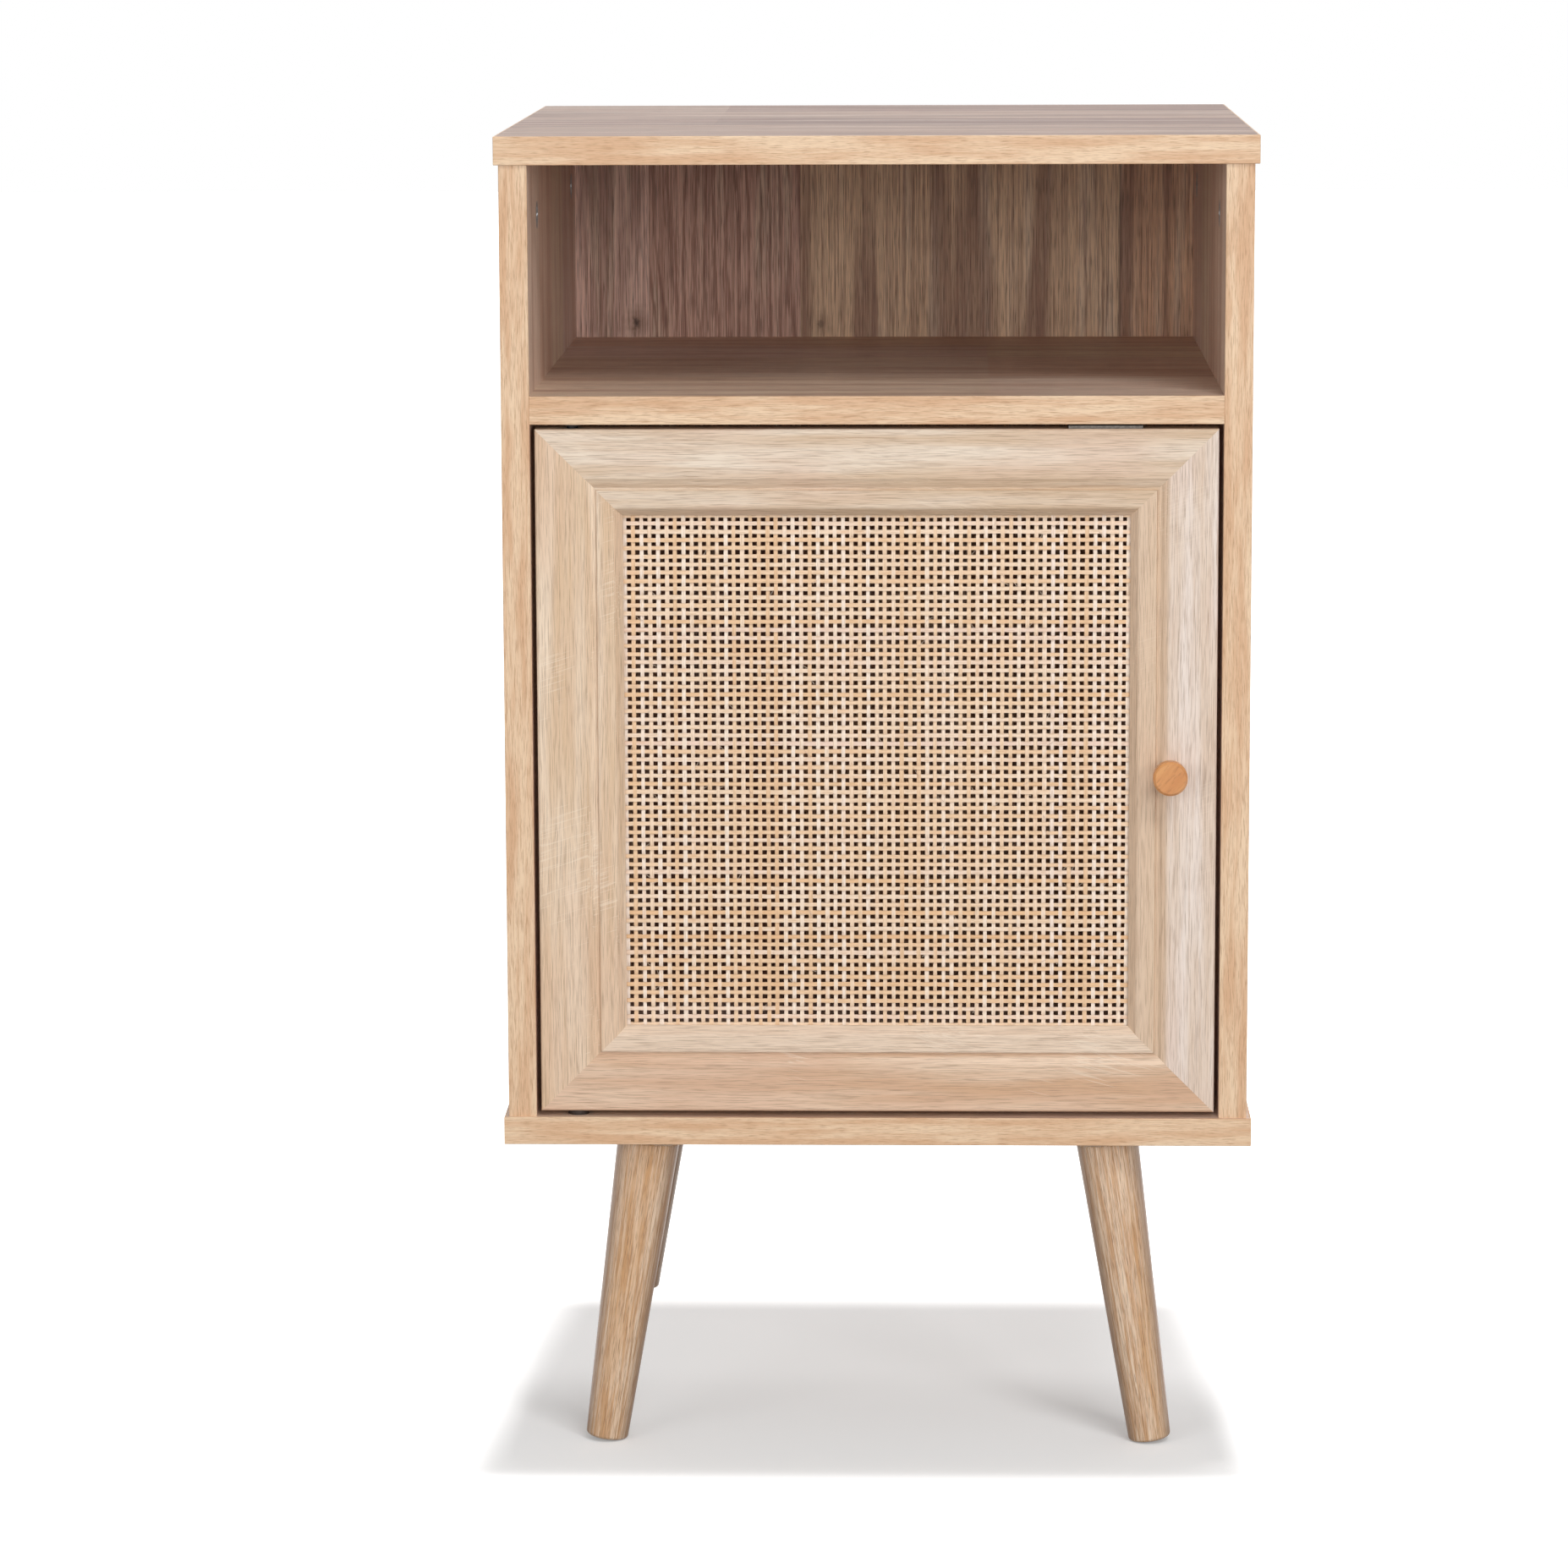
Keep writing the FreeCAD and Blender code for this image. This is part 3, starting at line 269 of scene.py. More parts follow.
def edge_foil(name, turn, runs_round=False):
    """Edge banding printed as straight oak: a warm, even beige full of short brown dashes along its
    length, with a satin sheen."""
    material, tree = begin(name)
    space = grain_space(tree, turn)
    if runs_round:
        # A band that goes round a board turns its grain at the corners
        normal = add(tree, "ShaderNodeNewGeometry", "True Normal", {})
        sideways = add(tree, "ShaderNodeSeparateXYZ", "X", {"Vector": normal})
        turned = add(tree, "ShaderNodeMath", 0, {0: sideways}, operation="ABSOLUTE")
        other = grain_space(tree, ALONG_Y)
        at_end = add(tree, "ShaderNodeMath", 0, {0: turned, 1: END_LEAN}, operation="GREATER_THAN")
        space = add(tree, "ShaderNodeMix", 1, {0: at_end, 4: space, 5: other}, data_type="VECTOR")
    tone = grain(tree, space, 90, 7, 3, 0.6)
    streak = grain(tree, space, 34, 0.8, 4, 0.6)
    # Dashes are about 0.2 mm wide, and drawn at about 0.3 mm so that they show
    dash = grain(tree, space, 8, 0.3, 2, 0.6)
    colour = stained(tree, linear("#D6AD88"), tone, (0.35, 0.65), 1.0, "#EACDAC")
    colour = stained(tree, colour, streak, (0.48, 0.72), 0.5, "#CB9D74")
    colour = stained(tree, colour, dash, (0.48, 0.68), 0.62, "#A47752")
    finish_surface(tree, colour, dash, (0.38, 0.5), dash, -0.04, IOR=1.5)
    return material


# How far the painted shade, a brown line, reaches from the middle of the quirk
QUIRK_SHADE_REACH = (1.4 * MM, 0.3 * MM)


def washed_oak_foil(name, turn, tones, quirk, rays, inner=None):
    """Embossed oak foil wrapped round the door mouldings. The eye sees pale washed oak with dense, short
    grey-brown lines along each length, cream and pinkish bands, thin light ray marks at a slant, and
    a brown line of painted shade in the quirk beside the bead. Tones are pale, warm and pinkish. The quirk
    has an axis, a place and a share of painted shade, the rays a slant and a share, and inner is a second
    colour laid over the part of the length nearer the cane: where it takes over, and its colour."""
    material, tree = begin(name)
    space = grain_space(tree, turn)
    pale, warm, blush = tones
    axis, quirk_mm, quirk_shade_share = quirk
    slant, ray_share = rays
    where = add(tree, "ShaderNodeTexCoord", "Object", {})
    place = add(tree, "ShaderNodeSeparateXYZ", axis, {"Vector": where})
    band = grain(tree, space, 240, 13, 3, 0.6)
    rosy = grain(tree, space, 110, 30, 2)
    streak = grain(tree, space, 42, 0.8, 4, 0.65)
    # Lines are about 0.2 mm wide, and drawn at about 0.3 mm so that they show
    line = grain(tree, space, 15, 0.3, 2, 0.6)
    colour = stained(tree, linear(warm), band, (0.36, 0.66), 1.0, pale)
    colour = stained(tree, colour, rosy, (0.42, 0.7), 0.6, blush)
    if inner:
        # A second colour is laid over the part of the length nearer the cane
        (outer_mm, inner_mm), inner_colour = inner
        colour = stained(tree, colour, place, (outer_mm * MM, inner_mm * MM), 0.85, inner_colour)
    colour = stained(tree, colour, streak, (0.46, 0.74), 0.48, "#C2A082")
    colour = stained(tree, colour, line, (0.48, 0.68), 0.6, "#967860")
    across = grain_space(tree, (0, slant, 0))
    mark = grain(tree, across, 30, 0.8, 1)
    patch = grain(tree, space, 70, 40, 1)
    ray = add(tree, "ShaderNodeMath", 0, {0: mark, 1: patch}, operation="MULTIPLY")
    colour = stained(tree, colour, ray, (0.36, 0.44), ray_share, "#F0E0CC")
    # Painted shade: a brown line darkens the quirk beside the bead, where shade falls
    off = add(tree, "ShaderNodeMath", 0, {0: place, 1: quirk_mm * MM}, operation="SUBTRACT")
    away = add(tree, "ShaderNodeMath", 0, {0: off}, operation="ABSOLUTE")
    colour = stained(tree, colour, away, QUIRK_SHADE_REACH, quirk_shade_share, "#8A6A50")
    finish_surface(tree, colour, streak, (0.42, 0.56), line, -0.08, IOR=1.48)
    return material


def lacquered_oak(name, lean):
    """Turned oak under satin lacquer. The eye sees brown growth lines down the length, honey
    streaks and fine pores, and a soft highlight down the round."""
    material, tree = begin(name)
    space = grain_space(tree, (0, math.radians(-90) + lean, 0))
    growth = grain(tree, space, 480, 1.5, 4, 0.65, 0.2)
    honey = grain(tree, space, 160, 16, 2)
    streak = grain(tree, space, 220, 0.5, 3, 0.6)
    # Pores are about 0.2 mm wide, and drawn at about 0.3 mm so that they show
    pore = grain(tree, space, 22, 0.3, 1)
    colour = stained(tree, linear("#D2A67E"), growth, (0.36, 0.62), 1.0, "#F0D6BB")
    colour = stained(tree, colour, honey, (0.48, 0.68), 0.5, "#CE9B64")
    colour = stained(tree, colour, streak, (0.46, 0.7), 0.52, "#9A6B47")
    colour = stained(tree, colour, pore, (0.54, 0.68), 0.5, "#7B573A")
    # The photograph shows dark rims down both sides of the legs: they are painted shade here, the sides of
    # the round coloured darker
    rim_shade_facing = add(tree, "ShaderNodeNewGeometry", "Normal", {})
    sideways = add(tree, "ShaderNodeSeparateXYZ", "X", {"Vector": rim_shade_facing})
    side = add(tree, "ShaderNodeMath", 0, {0: sideways}, operation="ABSOLUTE")
    colour = stained(tree, colour, side, (0.55, 1.0), 0.62, "#7E5638")
    lacquer = {"IOR": 1.5, "Specular IOR Level": 0.1, "Coat Weight": 0.22, "Coat Roughness": 0.1}
    finish_surface(tree, colour, growth, (0.32, 0.45), pore, -0.04, **lacquer)
    return material


def turned_beech(name, turn, pale, deep, fleck, coat):
    """Beech, a close even wood. The eye sees a plain warm colour with small darker flecks."""
    material, tree = begin(name)
    space = grain_space(tree, turn)
    band = grain(tree, space, 60, 6, 3, 0.6)
    dash = grain(tree, space, 5, 0.9, 2)
    colour = stained(tree, linear(deep), band, (0.35, 0.68), 1.0, pale)
    colour = stained(tree, colour, dash, (0.55, 0.7), 0.45, fleck)
    lacquer = {"IOR": 1.5, "Coat Weight": coat, "Coat Roughness": 0.3}
    finish_surface(tree, colour, band, (0.34, 0.48), dash, -0.02, **lacquer)
    return material


def peeled_cane(name, turn, tones):
    """Peeled rattan splints, woven. The eye sees straw, cream and pinkish strands that differ one
    from the next, with fibres along each, orange stains and a dull sheen."""
    material, tree = begin(name)
    space = grain_space(tree, turn)
    strand = add(tree, "ShaderNodeAttribute", "Fac", {}, attribute_name="strand_tone")
    spaced = [(place / (len(tones) - 1), linear(tone)) for place, tone in enumerate(tones)]
    colour = add(tree, "ShaderNodeValToRGB", "Color", {"Fac": strand}, stops=spaced)
    stain = grain(tree, space, 45, 6, 2)
    # Fibres are under 0.1 mm wide, and drawn at about 0.6 mm so that they show
    fibre = grain(tree, space, 14, 0.6, 2, 0.6)
    colour = stained(tree, colour, stain, (0.54, 0.74), 0.45, "#DFAC7E")
    colour = stained(tree, colour, fibre, (0.46, 0.7), 0.4, "#C6A077")
    # Only the face is peeled smooth: the cut edges are raw and brown, deepened further as painted shade in
    # the holes between the splints, and the rear is a dull tan
    normal = add(tree, "ShaderNodeNewGeometry", "True Normal", {})
    rear = add(tree, "ShaderNodeSeparateXYZ", "Y", {"Vector": normal})
    colour = stained(tree, colour, rear, (-0.6, -0.2), 0.92, "#80501F")
    colour = stained(tree, colour, rear, (0.5, 0.9), 0.9, "#A97C4E")
    finish_surface(tree, colour, fibre, (0.46, 0.62), fibre, -0.05, IOR=1.45)
    return material


def plated_metal(name, pale, deep, crystal_mm, rough_span):
    """Zinc, die-cast or plated on steel, and phosphated or blackened steel. The eye sees a grey metal,
    pale or dark, with a faint crystalline mottle."""
    material, tree = begin(name)
    where = add(tree, "ShaderNodeTexCoord", "Object", {})
    crystals = {"Vector": where, "Scale": 1 / (crystal_mm * MM)}
    crystal = add(tree, "ShaderNodeTexVoronoi", "Distance", crystals)
    clouds = {"Vector": where, "Scale": 1 / (9 * MM), "Detail": 4}
    cloud = add(tree, "ShaderNodeTexNoise", "Fac", clouds)
    colour = stained(tree, linear(pale), crystal, (0.2, 0.8), 1.0, deep)
    finish_surface(tree, colour, cloud, rough_span, crystal, 0.01, Metallic=1.0)
    return material


def moulded_plastic(name, pale, deep, rough_span):
    """Injection-moulded plastic, and ferrite, which is pressed and fired. The eye sees an even colour
    with a fine matt texture."""
    material, tree = begin(name)
    where = add(tree, "ShaderNodeTexCoord", "Object", {})
    texture, cloud = (
        add(tree, "ShaderNodeTexNoise", "Fac", {"Vector": where, "Scale": 1 / (size * MM), "Detail": 2})
        for size in (0.8, 14)
    )
    colour = stained(tree, linear(deep), cloud, (0.3, 0.7), 1.0, pale)
    finish_surface(tree, colour, texture, rough_span, texture, 0.02, IOR=1.5)
    return material


def dress(material, *names):
    """Give CAD nodes a material."""
    for name in names:
        for place in nodes[name].material_slots:
            place.material = material


def span_mm(name, axis):
    """A node's low and high place along an axis, in millimetres."""
    low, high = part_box(name)
    return low[axis] / MM, high[axis] / MM


# Boards: for each plank the share of the board's width where it starts, how much cathedral figure it
# has, and its colour before and after the butt joint. Tints are the pale, the deep and the dark.
TOP_TINTS = ("#DCC9BB", "#6E4A3D", "#3E281F")
BACK_TINTS = ("#F3DCC2", "#85594A", "#3A231A")
WALL_TINTS = ("#F2DECA", "#C59C85", "#755444")
# Films: the span of their roughness, and how much they mirror
SILK, SATIN, MATT = ((0.36, 0.46), 0.5), ((0.4, 0.52), 0.45), ((0.5, 0.62), 0.35)
PLAIN, ROSY, SANDY, RUDDY = "#F4DBC7", "#F5DACD", "#F5DDC3", "#EBCAB4"

dress(
    printed_oak(
        "melamine_oak_top",
        ALONG_X,
        span_mm("top_panel", 1),
        [
            (0.0, 0.2, "#B5937F", "#B5937F"),
            (0.34, 0.8, "#A88271", "#957061"),
            (0.52, 0.1, "#C2A28F", "#BB9985"),
            (0.78, 0.6, "#BF9F8C", "#A37D6E"),
        ],
        -90,
        TOP_TINTS,
        SILK,
    ),
    "top_panel",
)
dress(
    printed_oak(
        "melamine_oak_shelves",
        ALONG_X,
        span_mm("shelf_panel", 1),
        [
            (0.0, 0.3, SANDY, PLAIN),
            (0.3, 0.6, PLAIN, RUDDY),
            (0.62, 0.15, ROSY, SANDY),
            (0.83, 0.7, RUDDY, RUDDY),
        ],
        60,
        WALL_TINTS,
        SATIN,
    ),
    "shelf_panel",
    "bottom_panel",
)
dress(
    printed_oak(
        "melamine_oak_sides",
        ALONG_Z,
        span_mm("left_side_panel", 1),
        [
            (0.0, 0.15, ROSY, PLAIN),
            (0.22, 0.6, PLAIN, RUDDY),
            (0.47, 0.3, SANDY, SANDY),
            (0.7, 0.8, RUDDY, ROSY),
        ],
        410,
        WALL_TINTS,
        SATIN,
    ),
    "left_side_panel",
    "right_side_panel",
)
# The back's joint lies behind the shelf. The planks below it, inside the cupboard and seen through the
# cane, are painted darker, as painted shade.
dress(
    printed_oak(
        "printed_hardboard_back_shaded_below",
        (0, math.radians(-90), math.radians(-90)),
        span_mm("back_panel", 0),
        [
            (0.0, 0.15, "#C0906A", "#F2CDBC"),
            (0.147, 1.0, "#B58360", "#D8AF9C"),
            (0.373, 0.1, "#C49468", "#F6D4B0"),
            (0.851, 0.6, "#BD8A60", "#F2C7A3"),
        ],
        565,
        BACK_TINTS,
        MATT,
        knots=[((580, -147, 0), 0.9), ((579, -38, 0), 0.5)],
        fibre_rear=True,
    ),
    "back_panel",
)
dress(
    edge_foil("edge_foil_round", ALONG_X, runs_round=True),
    "top_edge_band",
    "bottom_edge_band",
    "shelf_edge_band",
)
dress(edge_foil("edge_foil_upright", ALONG_Z), "left_side_edge_band", "right_side_edge_band")

# Door frame: each length is another cut of the foil
STILE_RAYS = math.radians(-18)
RAIL_RAYS = math.radians(15)
dress(
    washed_oak_foil(
        "washed_oak_top_rail",
        ALONG_X,
        ("#EBDBC8", "#D3B89B", "#DDBFA8"),
        ("Z", 524.4, 0.3),
        (RAIL_RAYS, 0.25),
    ),
    "door_top_rail",
)
dress(
    washed_oak_foil(
        "washed_oak_bottom_rail",
        ALONG_X,
        ("#EACFB5", "#CFA785", "#D7B094"),
        ("Z", 220.2, 0.12),
        (RAIL_RAYS, 0.35),
        ((219, 221), "#EBD6C0"),
    ),
    "door_bottom_rail",
)
dress(
    washed_oak_foil(
        "washed_oak_left_stile",
        ALONG_Z,
        ("#EFD9C0", "#DABB99", "#E0BFA2"),
        ("X", -147.6, 0.1),
        (STILE_RAYS, 0.4),
    ),
    "door_left_stile",
)
dress(
    washed_oak_foil(
        "washed_oak_right_stile",
        ALONG_Z,
        ("#EEE0D6", "#E1CCB9", "#E5CDC0"),
        ("X", 150.8, 0.3),
        (STILE_RAYS, 0.15),
        ((156, 152), "#DABD9F"),
    ),
    "door_right_stile",
)
dress(
    turned_beech("beech_beads", ALONG_Z, "#DFC4A2", "#CBA982", "#A98460", 0.0),
    "left_cane_bead",
    "right_cane_bead",
)
dress(
    turned_beech("beech_cross_beads", ALONG_X, "#DFC4A2", "#CBA982", "#A98460", 0.0),
    "top_cane_bead",
    "bottom_cane_bead",
)
KNOB_TURN = (0, math.radians(-50), 0)
dress(turned_beech("oiled_beech_knob", KNOB_TURN, "#D6995D", "#C58146", "#A16536", 0.15), "door_knob")
dress(
    turned_beech("raw_beech_dowels", ALONG_X, "#E0C6A2", "#CDAE86", "#A98562", 0.0),
    "wood_dowels",
    "mitre_dowels",
)

LEAN = math.radians(8.25)
dress(lacquered_oak("lacquered_oak_left_legs", LEAN), "front_left_leg", "rear_left_leg")
dress(lacquered_oak("lacquered_oak_right_legs", -LEAN), "front_right_leg", "rear_right_leg")

dress(plated_metal("die_cast_zinc", "#B4B6B8", "#94979A", 1.5, (0.34, 0.5)), "cam_locks")
dress(
    plated_metal("zinc_plated_steel", "#C9CACB", "#A8AAAC", 1.2, (0.26, 0.42)),
    *(name for name in nodes if name.endswith(("_leg_plate", "_bolts", "_nails", "_screws", "_brads"))),
    *(name for name in nodes if name.endswith("_screw")),
)
dress(
    plated_metal("phosphated_steel", "#5C5752", "#4A4642", 1.2, (0.36, 0.5)),
    "catch_pole_plates",
    "strike_plate",
)
dress(
    plated_metal("blackened_steel", "#3A3A3B", "#2A2A2B", 1.2, (0.55, 0.68)),
    "upper_pivot_pin",
    "lower_pivot_pin",
)
dress(
    moulded_plastic("brown_nylon", "#3A2C23", "#2C211A", (0.58, 0.7)),
    "upper_pivot_bush",
    "lower_pivot_bush",
    "pivot_washer",
)
dress(moulded_plastic("grey_moulded_abs", "#6E6B68", "#5A5855", (0.4, 0.55)), "catch_case")
dress(moulded_plastic("sintered_ferrite", "#3B3A3A", "#272626", (0.5, 0.65)), "catch_magnet")

# Cane: a plain weave of flat splints, held all round in the rabbet of the door frame. The pitch and the
# splint's width are as in the photograph, and the thickness is the usual one.
PITCH_X = 4.44 * MM
PITCH_Z = 4.35 * MM
SPLINT_WIDE = 2.1 * MM
SPLINT_THICK = 0.35 * MM
WEAVE_RISE = 0.22 * MM
CROWN = 0.03 * MM
# Splints differ in width by a share of it, sit a little off their place and waver along their length
WIDTH_SPREAD = 0.07
DRIFT = 0.12 * MM
SLOW_WAVER, SLOW_LENGTH = 0.1 * MM, 31 * MM
QUICK_WAVER, QUICK_LENGTH = 0.05 * MM, 7 * MM
PINCH_SHARE, PINCH_LENGTH = 0.05, 11 * MM
# How the strands' tones are spread between the first and the last
TONE_SPREAD = (2.6, 2.2)
# Cuts along a splint from one crossing to the next, and the angle from which an edge stays sharp
STEPS = 4
SHARP = math.radians(50)
cane_low, cane_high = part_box("cane_panel")
cane_middle = (cane_low + cane_high) / 2
cane_half = (cane_high - cane_low) / 2
columns = round(2 * cane_half.x / PITCH_X)
rows = round(2 * cane_half.z / PITCH_Z)


def strand(mesh, tone_layer, order, crossings, pitch, half_long, offset, upright):
    """One splint: a long strip that rises over and dips under the splints it crosses."""
    grid = bmesh.ops.create_grid(mesh, x_segments=2, y_segments=crossings * STEPS, size=0.5)
    wide = SPLINT_WIDE * draws.uniform(1 - WIDTH_SPREAD, 1 + WIDTH_SPREAD)
    tone = draws.betavariate(*TONE_SPREAD)
    drift = draws.uniform(-DRIFT, DRIFT)
    phase = draws.uniform(0, math.tau)
    sign = 1 if (order % 2 == 0) == upright else -1
    for point in grid["verts"]:
        edge, run = point.co.x * 2, point.co.y * 2
        along = run * half_long
        beat = along / pitch + (crossings - 1) / 2
        rise = sign * WEAVE_RISE * math.sin(math.pi / 2 * math.cos(math.pi * beat))
        waver = drift + SLOW_WAVER * math.sin(phase + along / SLOW_LENGTH)
        waver += QUICK_WAVER * math.sin(3 * phase + along / QUICK_LENGTH)
        pinch = 1 + PINCH_SHARE * math.sin(2 * phase + along / PINCH_LENGTH)
        side = offset + waver + edge * wide * pinch / 2
        front = -(rise + CROWN * (1 - edge * edge))
        place = (side, front, along) if upright else (along, front, side)
        point.co = cane_middle + Vector(place)
        point[tone_layer] = tone


def weave(name, count, spacing, crossings, pitch, half_long, upright, turn, tones):
    """The splints that run one way, as one piece that stands for the cane panel."""
    mesh = bmesh.new()
    tone_layer = mesh.verts.layers.float.new("strand_tone")
    for order in range(count):
        offset = (order - (count - 1) / 2) * spacing
        strand(mesh, tone_layer, order, crossings, pitch, half_long, offset, upright)
    bmesh.ops.solidify(mesh, geom=mesh.faces[:], thickness=SPLINT_THICK)
    bmesh.ops.recalc_face_normals(mesh, faces=mesh.faces[:])
    cane_piece(name, mesh, turn, tones)


def cane_piece(name, mesh, turn, tones):
    """Close a cane mesh: it rides on the door in place of the plain cane panel."""
    for face in mesh.faces:
        face.smooth = True
    for edge in mesh.edges:
        edge.smooth = edge.calc_face_angle(0) < SHARP
    data = bpy.data.meshes.new(name)
    mesh.to_mesh(data)
    mesh.free()
    piece = bpy.data.objects.new(name, data)
    bpy.context.collection.objects.link(piece)
    data.materials.append(peeled_cane(name + "_rattan", turn, tones))
    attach(piece, "door")
    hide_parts("cane_panel")


# The splints' tones differ one from the next; the crosswise ones are a little darker and more orange, as
# painted shade
UPRIGHT_TONES = ("#E1B78E", "#ECCAA6", "#F2D6BA", "#F7E4D1", "#F3DFD3")
CROSS_TONES = ("#DEAC7D", "#E9BF94", "#EFCCA8", "#F4DABF", "#EDD0BF")
weave("cane_uprights", columns, PITCH_X, rows, PITCH_Z, cane_half.z, True, ALONG_Z, UPRIGHT_TONES)
weave("cane_crosswise", rows, PITCH_Z, columns, PITCH_X, cane_half.x, False, ALONG_X, CROSS_TONES)

# Loose fibres stand across the holes here and there, in front of the weave and clear of the frame
FIBRE_COUNT = 150
FIBRE_INSET = 9 * MM
FIBRE_FRONT = -0.55 * MM
FIBRE_ROOT, FIBRE_TIP = 0.14 * MM, 0.06 * MM
FIBRE_LONG_MM = (2.5, 6)
FIBRE_SLANT_DEGREES = (20, 75)
FIBRE_TONE = 0.75
mesh = bmesh.new()
fibre_tone = mesh.verts.layers.float.new("strand_tone")
for _ in range(FIBRE_COUNT):
    side = draws.uniform(-1, 1) * (cane_half.x - FIBRE_INSET)
    height = draws.uniform(-1, 1) * (cane_half.z - FIBRE_INSET)
    spot = cane_middle + Vector((side, FIBRE_FRONT, height))
    slant = draws.choice((-1, 1)) * math.radians(draws.uniform(*FIBRE_SLANT_DEGREES))
    fibre = bmesh.ops.create_cone(
        mesh,
        cap_ends=True,
        segments=5,
        radius1=FIBRE_ROOT,
        radius2=FIBRE_TIP,
        depth=draws.uniform(*FIBRE_LONG_MM) * MM,
        matrix=Matrix.Translation(spot) @ Matrix.Rotation(slant, 4, "Y"),
    )
    for point in fibre["verts"]:
        point[fibre_tone] = FIBRE_TONE
cane_piece("cane_fibres", mesh, ALONG_Z, UPRIGHT_TONES)

# Floor: white for the camera, but for a patch of painted shadow where the photograph has the table's
# shadow. There it glows less and keeps the lamps' own shadow inside the painted outline. For other rays it
# is a mid grey, so that it doesn't light the table from below.
# The patch has a middle, half its width and depth, a taper with depth and a soft border, in metres.
SHADOW_CENTRE = (-0.0075, -0.06, 0)
SHADOW_HALF = (0.178, 0.168, 0)
SHADOW_TAPER = (-0.083, 0, 0)
SHADOW_FADE = 0.045
# Inside the painted shadow the glow rises from its front part to its rear part, to even the shadow out
GLOW_FRONT, GLOW_REAR = 0.2, 0.41
GLOW_TURN = 0.05
FLOOR_HALF = 12
floor_material, tree = begin("pale_studio_floor")
sight = seen_straight(tree)
where = add(tree, "ShaderNodeTexCoord", "Object", {})
speckle = add(tree, "ShaderNodeTexNoise", "Fac", {"Vector": where, "Scale": 1 / (40 * MM)})
dull = stained(tree, linear("#929292"), speckle, (0.3, 0.7), 1.0, "#969696")
paint = stained(tree, dull, sight, (0.0, 1.0), 1.0, "#E8E8E8")
matt = add(tree, "ShaderNodeBsdfDiffuse", "BSDF", {"Color": paint})
centred = add(tree, "ShaderNodeVectorMath", 0, {0: where, 1: SHADOW_CENTRE}, operation="SUBTRACT")
folded = add(tree, "ShaderNodeVectorMath", 0, {0: centred}, operation="ABSOLUTE")
depth = add(tree, "ShaderNodeSeparateXYZ", "Y", {"Vector": centred})
half = add(
    tree,
    "ShaderNodeVectorMath",
    0,
    {0: SHADOW_TAPER, 1: depth, 2: SHADOW_HALF},
    operation="MULTIPLY_ADD",
)
beyond = add(tree, "ShaderNodeVectorMath", 0, {0: folded, 1: half}, operation="SUBTRACT")
outside = add(tree, "ShaderNodeVectorMath", 0, {0: beyond}, operation="MAXIMUM")
far = add(tree, "ShaderNodeVectorMath", "Value", {0: outside}, operation="LENGTH")
evening = {"From Min": -GLOW_TURN, "From Max": GLOW_TURN, "To Min": GLOW_FRONT, "To Max": GLOW_REAR}
shade = add(
    tree,
    "ShaderNodeMapRange",
    "Result",
    {"Value": depth, **evening},
    interpolation_type="SMOOTHSTEP",
)
glow_near = {"Value": far, "From Max": SHADOW_FADE, "To Min": shade, "To Max": 1.0}
lift = add(tree, "ShaderNodeMapRange", "Result", glow_near, interpolation_type="SMOOTHSTEP")
glow_level = add(tree, "ShaderNodeMath", 0, {0: sight, 1: lift}, operation="MULTIPLY")
glow = add(tree, "ShaderNodeEmission", "Emission", {"Color": linear("#FFFFFF"), "Strength": glow_level})
both = add(tree, "ShaderNodeAddShader", "Shader", {0: matt, 1: glow})
add(tree, "ShaderNodeOutputMaterial", None, {"Surface": both})
mesh = bmesh.new()
bmesh.ops.create_grid(mesh, x_segments=8, y_segments=8, size=FLOOR_HALF)
floor_data = bpy.data.meshes.new("studio_floor")
mesh.to_mesh(floor_data)
mesh.free()
floor_data.materials.append(floor_material)
floor = bpy.data.objects.new("studio_floor", floor_data)
bpy.context.collection.objects.link(floor)

# World: white where the camera, a gloss or a see-through surface looks at it. For the rest it is a plain
# soft fill, stronger from behind, where no lamp stands.
FILL_FRONT, FILL_REAR = 0.28, 0.6
FILL_FROM, FILL_TO = 0.1, 0.8
world = bpy.data.worlds.new("studio_white")
world.use_nodes = True
world.node_tree.nodes.clear()
bpy.context.scene.world = world
tree = world.node_tree
seen = seen_straight(tree)
heading = add(tree, "ShaderNodeTexCoord", "Generated", {})
rearward = add(tree, "ShaderNodeSeparateXYZ", "Y", {"Vector": heading})
fill_span = {"From Min": FILL_FROM, "From Max": FILL_TO, "To Min": FILL_FRONT, "To Max": FILL_REAR}
fill = add(tree, "ShaderNodeMapRange", "Result", {"Value": rearward, **fill_span})
strength = add(tree, "ShaderNodeMix", 0, {0: seen, 2: fill, 3: 1.0})
sky = add(tree, "ShaderNodeBackground", "Background", {"Color": linear("#FFFFFF"), "Strength": strength})
add(tree, "ShaderNodeOutputWorld", None, {"Surface": sky})


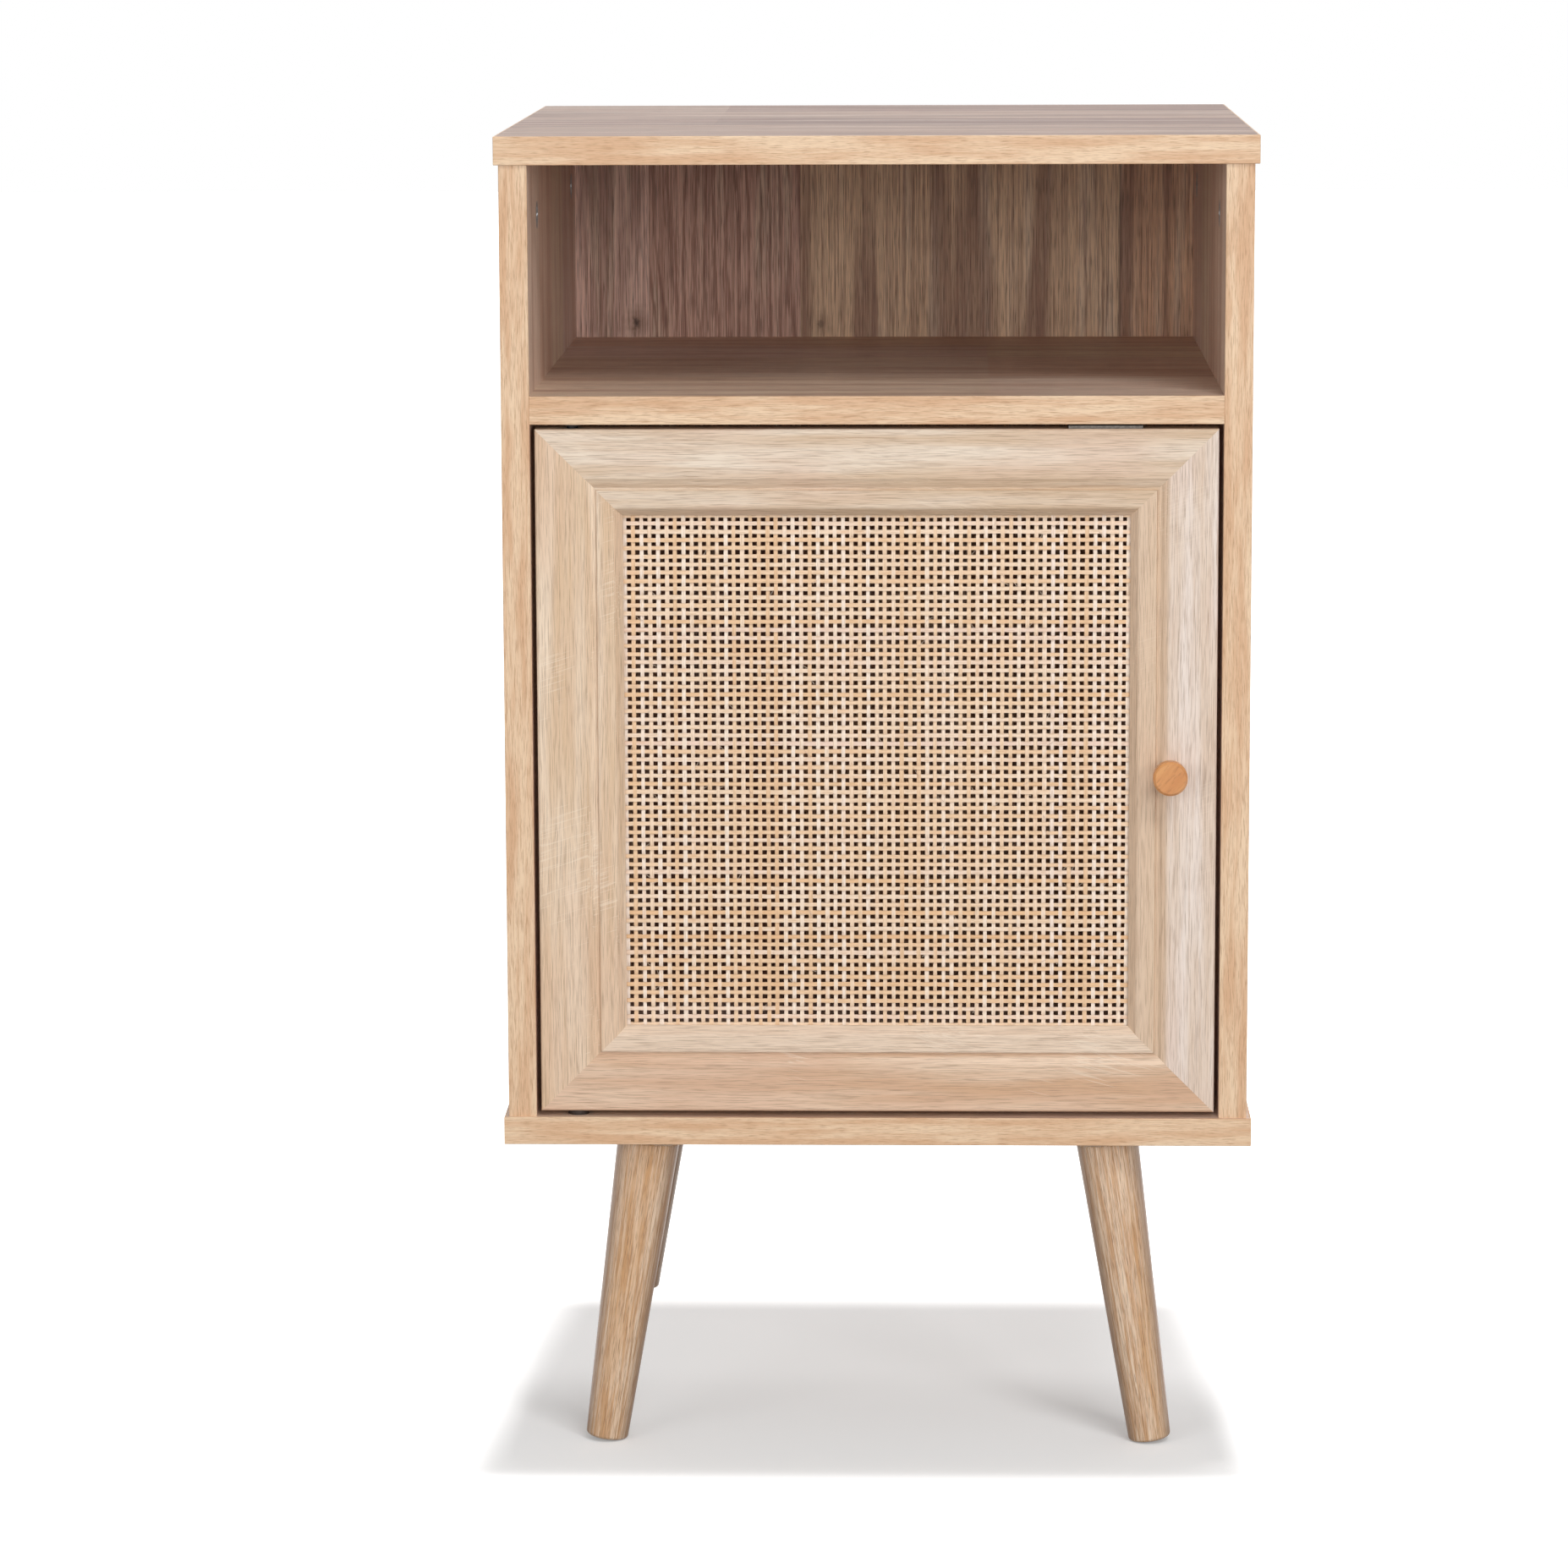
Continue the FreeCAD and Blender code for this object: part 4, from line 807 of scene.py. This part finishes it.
def softbox(name, place, aim, wide, tall, watts):
    """A rectangular lamp at a place, turned to an aim."""
    lamp = bpy.data.lights.new(name, "AREA")
    lamp.shape = "RECTANGLE"
    lamp.size, lamp.size_y, lamp.energy = wide, tall, watts
    holder = bpy.data.objects.new(name, lamp)
    bpy.context.collection.objects.link(holder)
    holder.location = place
    holder.rotation_euler = (Vector(aim) - holder.location).to_track_quat("-Z", "Y").to_euler()


MIDDLE = (0, 0, 0.4)
LOW_MIDDLE = (0, 0, 0.3)
softbox("front_softbox", (0.25, -3.3, 0.95), MIDDLE, 1.6, 0.7, 19)
softbox("right_softbox", (1.7, -2.8, 1.15), MIDDLE, 0.8, 1.2, 20)
softbox("left_softbox", (-2.0, -2.6, 1.05), MIDDLE, 1.6, 1.2, 19)
softbox("top_softbox", (1.0, -2.5, 3.1), LOW_MIDDLE, 1.4, 1.0, 40)
OVERHEAD_STRENGTH = 0.9
OVERHEAD_SPREAD = math.radians(7)
OVERHEAD_TURN = (math.radians(-5), math.radians(2), 0)
overhead = bpy.data.lights.new("overhead_lamp", "SUN")
overhead.energy = OVERHEAD_STRENGTH
overhead.angle = OVERHEAD_SPREAD
overhead_holder = bpy.data.objects.new("overhead_lamp", overhead)
bpy.context.collection.objects.link(overhead_holder)
overhead_holder.rotation_euler = OVERHEAD_TURN

# Camera: the focal length, counted in pixels of the picture, and the place and turns were fitted to
# the table's corners
FOCAL_PIXELS, PICTURE_PIXELS = 6669.4, 1854
SENSOR_MM = 36
CAMERA_PLACE = (0.0368, -3.1476, 0.8436)
CAMERA_TURN = (math.radians(90 - 9.183), math.radians(0.215), math.radians(1.632))
camera = bpy.data.cameras.new("photo_camera")
camera.sensor_width = SENSOR_MM
camera.lens = SENSOR_MM * FOCAL_PIXELS / PICTURE_PIXELS
camera_holder = bpy.data.objects.new("photo_camera", camera)
bpy.context.collection.objects.link(camera_holder)
camera_holder.location = CAMERA_PLACE
camera_holder.rotation_euler = CAMERA_TURN
bpy.context.scene.camera = camera_holder
bpy.context.scene.view_settings.view_transform = "Standard"
